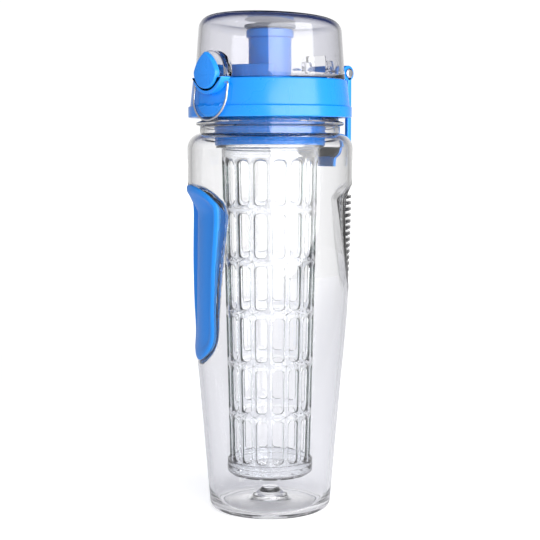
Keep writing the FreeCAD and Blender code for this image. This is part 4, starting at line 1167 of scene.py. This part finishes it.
def make_spout():
    """The drinking spout with its rolled rim."""
    corners = [
        (9.2, 221.5, 0.3), (13.45, 221.5, 0.4), (13.45, 223.45, 0.2), (11.25, 223.5, 0.1),
        (11.25, 249.1, 0.5),
        (12.4, 249.7, 0.5), (12.4, 253.2, 0.9), (11.4, 254.0, 0.8), (10.0, 254.0, 0.6), (9.2, 253.0, 0.6),
    ]
    spout = turned("drinking_spout", rounded(corners, steps=5), 128)
    finish_piece(spout, "lid", GLOSSY_BLUE, "blue_gloss", "spout")


def make_soft_seals():
    gasket = turned("gasket_ring", rounded([(33.4, 222.35), (37.2, 222.35), (37.2, 223.5),
    (33.4, 223.5)], 0.35))
    finish_piece(gasket, "gasket", SILICONE, "silicone", "neck_gasket")
    disc = turned("spout_disc", rounded([
        (0, 254.35), (9.8, 254.35, 0.2), (10.2, 254.75, 0.2), (13.4, 254.35, 0.3),
        (13.4, 256.15, 0.5), (8.0, 256.45, 0.4),
        (8.0, 257.1, 0.2), (0, 257.1),
    ]), 128)
    finish_piece(disc, "cover", SILICONE, "silicone", "spout_seal")
    to_vent = Matrix.Translation((0, 20, 0))
    vent = turned("vent_plug", rounded([
        (0, 222.5), (2.8, 222.5, 0.3), (2.8, 223.3, 0.3), (2.0, 223.6, 0.2), (2.0, 227.3, 0.2),
        (3.4, 227.45, 0.3),
        (3.2, 228.3, 0.5), (0.9, 228.6, 0.3), (0.6, 228.2, 0.2), (0, 228.2),
    ]), 48, place=to_vent)
    finish_piece(vent, "lid", SILICONE, "silicone", "vent_valve")


# ---- the hinge, the loop, the latch and the bail ----


def make_hinge_pin():
    end = 20.1
    corners = [(0, -end - 1.0), (1.7, -end - 0.95, 0.3), (2.6, -end - 0.5, 0.5), (2.6, -end, 0.2),
    (1.5, -end, 0.1),
               (1.5, end, 0.1), (2.6, end, 0.2), (2.6, end + 0.5, 0.5), (1.7, end + 0.95, 0.3),
               (0, end + 1.0)]
    pin = turned("hinge_pin_steel", rounded(corners), 40, place=Placed(along_x(HINGE_Y, HINGE_Z)))
    finish_piece(pin, "lid", STEEL, "steel", "hinge_pin")


def make_loop():
    """The carry loop: a flat U that follows the lid's curve, with an eyelet at each end."""
    outer, inner, low, band = 19.8, 16.3, 182.0, 5.0
    outside = [(outer, 230.0), (outer, low + 13)]
    outside += arc_between((outer, low + 13), (outer - 11, low), 12.5, 12)[1:]
    left = [(-u, z) for u, z in reversed(outside)]
    inside = [(inner, 230.0), (inner, low + band + 10)]
    inside += arc_between((inner - 8, low + band), (inner, low + band + 10), 9.5, 10)[::-1][1:]
    inner_left = [(-u, z) for u, z in reversed(inside)]
    outline = filled_in(outside + left + inner_left[::-1] + inside[::-1], 1.6, closed=True)

    def lift(u, v, depth):
        radius = 43.9 + depth
        return (u, math.sqrt(radius ** 2 - u ** 2), v)

    layers = [(0.5, 0.0), (0.15, 0.15), (0.0, 0.5), (0.0, 2.3), (0.15, 2.65), (0.5, 2.8)]
    parts = [slab("loop_band", outline, layers, lift, 50.0)]
    section = rounded([(1.8, inner), (4.1, inner, 0.5), (4.1, outer, 0.5), (1.8, outer)], 0.3)
    for side in (-1, 1):
        turn = [(r, x * side) for r, x in section]
        parts.append(turned(f"eyelet_{side + 1}", turn, 56, place=Placed(along_x(HINGE_Y, HINGE_Z))))
    finish_piece(together("carry_loop_blue", parts, 50.0), "loop", SOFT_BLUE, "blue_soft", "carry_loop")


def make_button():
    """The latch button: a leaf-shaped face with a round foot and a soft edge, on its hub."""
    radius, centre, point = 8.3, 230.1, 240.2
    outline = circle_points(radius, (0, centre), 180, 360, 48)[:-1]
    outline += arc_between((radius, centre), (0, point), 17.0, 16)[:-1]
    outline += arc_between((0, point), (-radius, centre), 17.0, 16)[:-1]
    layers = [(0.4, 43.5), (0.0, 43.8), (0.0, 45.9), (0.12, 46.3), (0.4, 46.58), (0.8, 46.7)]
    parts = [slab("button_face", outline, layers, on_front, 50.0)]
    hub = rounded([(1.1, -6.2), (2.0, -6.2), (2.0, 6.2), (1.1, 6.2)], 0.3)
    parts.append(turned("button_hub", hub, 32, place=Placed(along_x(-44.0, 226.0))))
    finish_piece(together("latch_button_blue", parts, 50.0), "button", GLOSSY_BLUE, "blue_gloss",
    "latch_button")


def make_bail():
    """The wire bail: a U whose ends turn in to pivot in the latch housing."""
    half, leg, tip = 12.0, 7.0, 9.0
    right = rounded([(tip, 0), (half, 0, 1.6), (half, -leg)], steps=6, closed=False)
    bend = circle_points(half, (0, -leg), 0, -180, 40)
    path = right + bend[1:-1] + [(-u, v) for u, v in reversed(right)]
    lean = Matrix.Rotation(-math.radians(9.1), 3, "X")
    points = [lean @ Vector((u, 0, v)) + Vector((0, -41.5, 225.0)) for u, v in path]
    finish_piece(wire("bail_wire", points, 0.6), "bail", STEEL, "steel", "lock_bail")


# ---- the clear cover ----


def cover_rows(angle):
    """The cover's outside and inside at one angle: drafted wall, round top edge and leaning top."""
    foot, low, height, draft, bend, wall = 39.4, 227.8, 35.8, 2.6, 7.0, 2.0
    lean = math.sin(angle) * math.tan(math.radians(2.7))
    side = Vector((height, draft)).normalized()
    top = Vector((lean, 1.0)).normalized()
    side_reach = side.dot(Vector((foot, low))) - bend
    top_reach = top.dot(Vector((0, 259.6))) - bend
    det = side.x * top.y - side.y * top.x
    centre = Vector((side_reach * top.y - top_reach * side.y, top_reach * side.x - side_reach * top.x)) / det
    turn = math.acos(side.dot(top))
    start = math.atan2(side.y, side.x)

    def rows(inset):
        wall_end = centre + side * (bend - inset)
        wall_foot = Vector((foot - inset * 1.0026, low))
        points = [wall_foot.lerp(wall_end, k / 9) for k in range(9)]
        for k in range(11):
            t = start + turn * k / 10
            points.append(centre + Vector((math.cos(t), math.sin(t))) * (bend - inset))
        crown = Vector((0, 259.6 - inset / top.y))
        points += [points[-1].lerp(crown, share) for share in (0.2, 0.4, 0.6, 0.8, 1.0)]
        return [tuple(p) for p in points]

    outside, inside = rows(0.0), rows(wall)
    outside[0] = (foot, low + 0.35)
    inside[0] = (foot - wall, low + 0.35)
    rim = [(foot - wall + 0.12, low + 0.1), (foot - wall + 0.4, low), (foot - 0.4, low),
    (foot - 0.12, low + 0.1)]
    return inside[::-1] + rim + outside


def make_cover():
    steps = 200
    columns = [cover_rows(TURN * k / steps) for k in range(steps)]
    verts, rings = [], []
    for row in range(len(columns[0])):
        if columns[0][row][0] < ON_AXIS:
            rings.append([len(verts)])
            verts.append((0, 0, columns[0][row][1]))
            continue
        rings.append(list(range(len(verts), len(verts) + steps)))
        for k, column in enumerate(columns):
            angle = TURN * k / steps
            radius, height = column[row]
            verts.append((radius * math.cos(angle), radius * math.sin(angle), height))
    shell = finished("cover_shell", verts, ring_faces(rings, closed=False))
    start = math.degrees(math.asin((228.0 - LUG_CENTRE) / 11.0))
    half_disc = circle_points(11.0, (0, LUG_CENTRE), start, 180 - start, 48)

    def lug_place(u, v, depth):
        return (u, -math.sqrt(38.0 ** 2 - u ** 2), v) if depth < 39 else (u, -depth, v)

    lug = slab("lug", half_disc, [(0.0, 38.0), (0.0, 42.2), (0.15, 42.65), (0.45, 42.92),
    (0.9, 43.0)], lug_place)
    steps_of_cut = [("UNION", lug)]
    for side in (-1, 1):
        first, last = (7.4, 11.4) if side > 0 else (-11.4, -7.4)
        ear = circle_points(4.1, (HINGE_Y, HINGE_Z), -155, 60, 36)
        ear += [(HINGE_Y + 0.6, 239.0), (35.6, 239.0), (35.6, 231.2)]
        layers = [(0.35, first), (0.0, first + 0.3), (0.0, last - 0.3), (0.35, last)]
        steps_of_cut.append(("UNION", slab(f"ear_{side + 1}", ear, layers, lambda u, v, depth: (depth,
        u, v))))
    hole = rounded([(-7.4, 220.0, 0), (7.4, 220.0, 0), (7.4, 242.0, 1.6), (-7.4, 242.0, 1.6)], steps=6)
    steps_of_cut.append(("DIFFERENCE", slab("knuckle_window", hole, [(0.0, 25.0), (0.0, 50.0)],
                                            lambda u, v, depth: (u, depth, v))))
    bore = turned("ear_bore", [(0, -20), (1.8, -20), (1.8, 20), (0, 20)], 40,
                  place=Placed(along_x(HINGE_Y, HINGE_Z)))
    steps_of_cut.append(("DIFFERENCE", bore))
    finish_piece(carved("clear_cover", shell, steps_of_cut, 40.0), "cover", SMOKY, "smoky_cover",
    "dome_cover")


def paint_small_parts():
    """The small parts that keep their CAD shape get their finish."""
    for node, material in (("latch_pin", STEEL), ("latch_spring", STEEL), ("hinge_spacers", CLEAR_RIBS)):
        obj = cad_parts[node]
        if not obj.data.materials:
            obj.data.materials.append(None)
        for place in obj.material_slots:
            place.material = material


# ---- camera, floor and light ----

CAMERA_PLACE = (0.488, -0.488, 0.1937)
CAMERA_DOWN = 5.49  # degrees below level
LENS, SENSOR = 86.7, 36.0
RIG_DISTANCE = 0.69  # from the camera to the bottle's axis


def make_camera():
    data = bpy.data.cameras.new("camera")
    data.lens, data.sensor_width = LENS, SENSOR
    data.clip_start, data.clip_end = 0.01, 50.0
    camera = bpy.data.objects.new("camera", data)
    bpy.context.scene.collection.objects.link(camera)
    camera.location = CAMERA_PLACE
    camera.rotation_euler = (math.radians(90 - CAMERA_DOWN), 0, math.radians(45))
    bpy.context.scene.camera = camera
    return camera


def glowing(name, strength, colour=(1, 1, 1), by_attribute=False):
    material = bpy.data.materials.new(name)
    material.use_nodes = True
    tree = material.node_tree
    tree.nodes.clear()
    glow = tree.nodes.new("ShaderNodeEmission")
    glow.inputs["Strength"].default_value = strength
    glow.inputs["Color"].default_value = (*colour, 1)
    if by_attribute:
        read = add_node(tree, "ShaderNodeAttribute", attribute_name="glow")
        tree.links.new(read.outputs["Color"], glow.inputs["Color"])
    tree.links.new(glow.outputs[0], tree.nodes.new("ShaderNodeOutputMaterial").inputs["Surface"])
    return material


def tent_colour(side, rise):
    """The tent's colour by direction, in degrees: side from straight behind the bottle, and rise."""
    side = abs(side)
    level = float(np.interp(side, [0, 8, 20, 40, 75, 110, 180], [1.0, 1.0, 0.72, 0.42, 0.5, 0.8, 0.85]))
    dark = float(eased(np.array((rise - 16.0) / 22.0)))
    behind = 1.0 - float(eased(np.array((side - 60.0) / 50.0)))
    dark *= 0.35 + 0.65 * behind
    night = (0.03, 0.045, 0.14)
    return tuple(level * (1 - dark) + n * dark for n in night)


def make_tent(camera):
    """A shell of graded light round the bottle that stays with the camera, as a studio's cards do."""
    verts, faces, colours = [], [], []
    columns, rows, radius = 120, 60, 1.2
    for j in range(rows + 1):
        rise = -90 + 180 * j / rows
        for k in range(columns):
            side = -180 + 360 * k / columns
            a, e = math.radians(side), math.radians(rise)
            verts.append((radius * math.sin(a) * math.cos(e), radius * math.sin(e),
                          -RIG_DISTANCE - radius * math.cos(a) * math.cos(e)))
            colours += [*tent_colour(side, rise), 1.0]
    for j in range(rows):
        for k in range(columns):
            n = (k + 1) % columns
            faces.append([j * columns + k, j * columns + n, (j + 1) * columns + n, (j + 1) * columns + k])
    mesh = bpy.data.meshes.new("light_tent")
    mesh.from_pydata(verts, [], faces)
    mesh.attributes.new("glow", "FLOAT_COLOR", "POINT").data.foreach_set("color", colours)
    mesh.materials.append(glowing("tent_glow", 1.0, by_attribute=True))
    tent = bpy.data.objects.new("light_tent", mesh)
    bpy.context.scene.collection.objects.link(tent)
    tent.parent = camera
    tent.visible_camera = False


def make_softbox(camera, name, turn, rise, distance, width, height, power):
    """A soft rectangular lamp aimed at the bottle, fixed to the camera. turn is to the camera's right."""
    data = bpy.data.lights.new(name, "AREA")
    data.shape = "RECTANGLE"
    data.size, data.size_y, data.energy = width, height, power
    lamp = bpy.data.objects.new(name, data)
    bpy.context.scene.collection.objects.link(lamp)
    lamp.parent = camera
    a, e = math.radians(turn), math.radians(rise)
    away = Vector((math.sin(a) * math.cos(e), math.sin(e), math.cos(a) * math.cos(e)))
    lamp.location = Vector((0, 0, -RIG_DISTANCE)) + away * distance
    lamp.rotation_mode = "QUATERNION"
    lamp.rotation_quaternion = away.to_track_quat("Z", "Y")
    lamp.visible_camera = False


def make_floor():
    mesh = bpy.data.meshes.new("floor")
    half = 12.0
    corners = [(-half, -half, 0), (half, -half, 0), (half, half, 0), (-half, half, 0)]
    mesh.from_pydata(corners, [], [(0, 1, 2, 3)])
    material, tree, shader = start_material("pale_floor")
    seen = tree.nodes.new("ShaderNodeLightPath").outputs["Is Camera Ray"]
    tree.links.new(mixed(tree, seen, (0.80, 0.80, 0.81), (0.9, 0.9, 0.91)), shader.inputs["Base Color"])
    shader.inputs["Roughness"].default_value = 0.22
    tree.links.new(mixed(tree, seen, (0.27, 0.27, 0.28), (0.50, 0.50, 0.50)), shader.inputs["Emission Color"])
    shader.inputs["Emission Strength"].default_value = 1.0
    mesh.materials.append(material)
    floor = bpy.data.objects.new("floor", mesh)
    bpy.context.scene.collection.objects.link(floor)


def make_world():
    world = bpy.data.worlds.new("studio")
    world.use_nodes = True
    world.node_tree.nodes["Background"].inputs["Color"].default_value = (1, 1, 1, 1)
    world.node_tree.nodes["Background"].inputs["Strength"].default_value = 1.05
    bpy.context.scene.world = world


def make_studio():
    camera = make_camera()
    make_tent(camera)
    make_softbox(camera, "key_softbox", 35.0, 8.0, 0.62, 0.50, 0.85, 5.5)
    make_floor()
    make_world()
    scene = bpy.context.scene
    scene.view_settings.view_transform = "Standard"
    scene.cycles.transmission_bounces = 24
    scene.cycles.max_bounces = 28


make_bottle()
make_palm_pad()
make_finger_ribs()
make_infuser()
make_infuser_cup()
make_lid()
make_collar()
make_spout()
make_soft_seals()
make_hinge_pin()
make_loop()
make_button()
make_bail()
make_cover()
paint_small_parts()
make_studio()
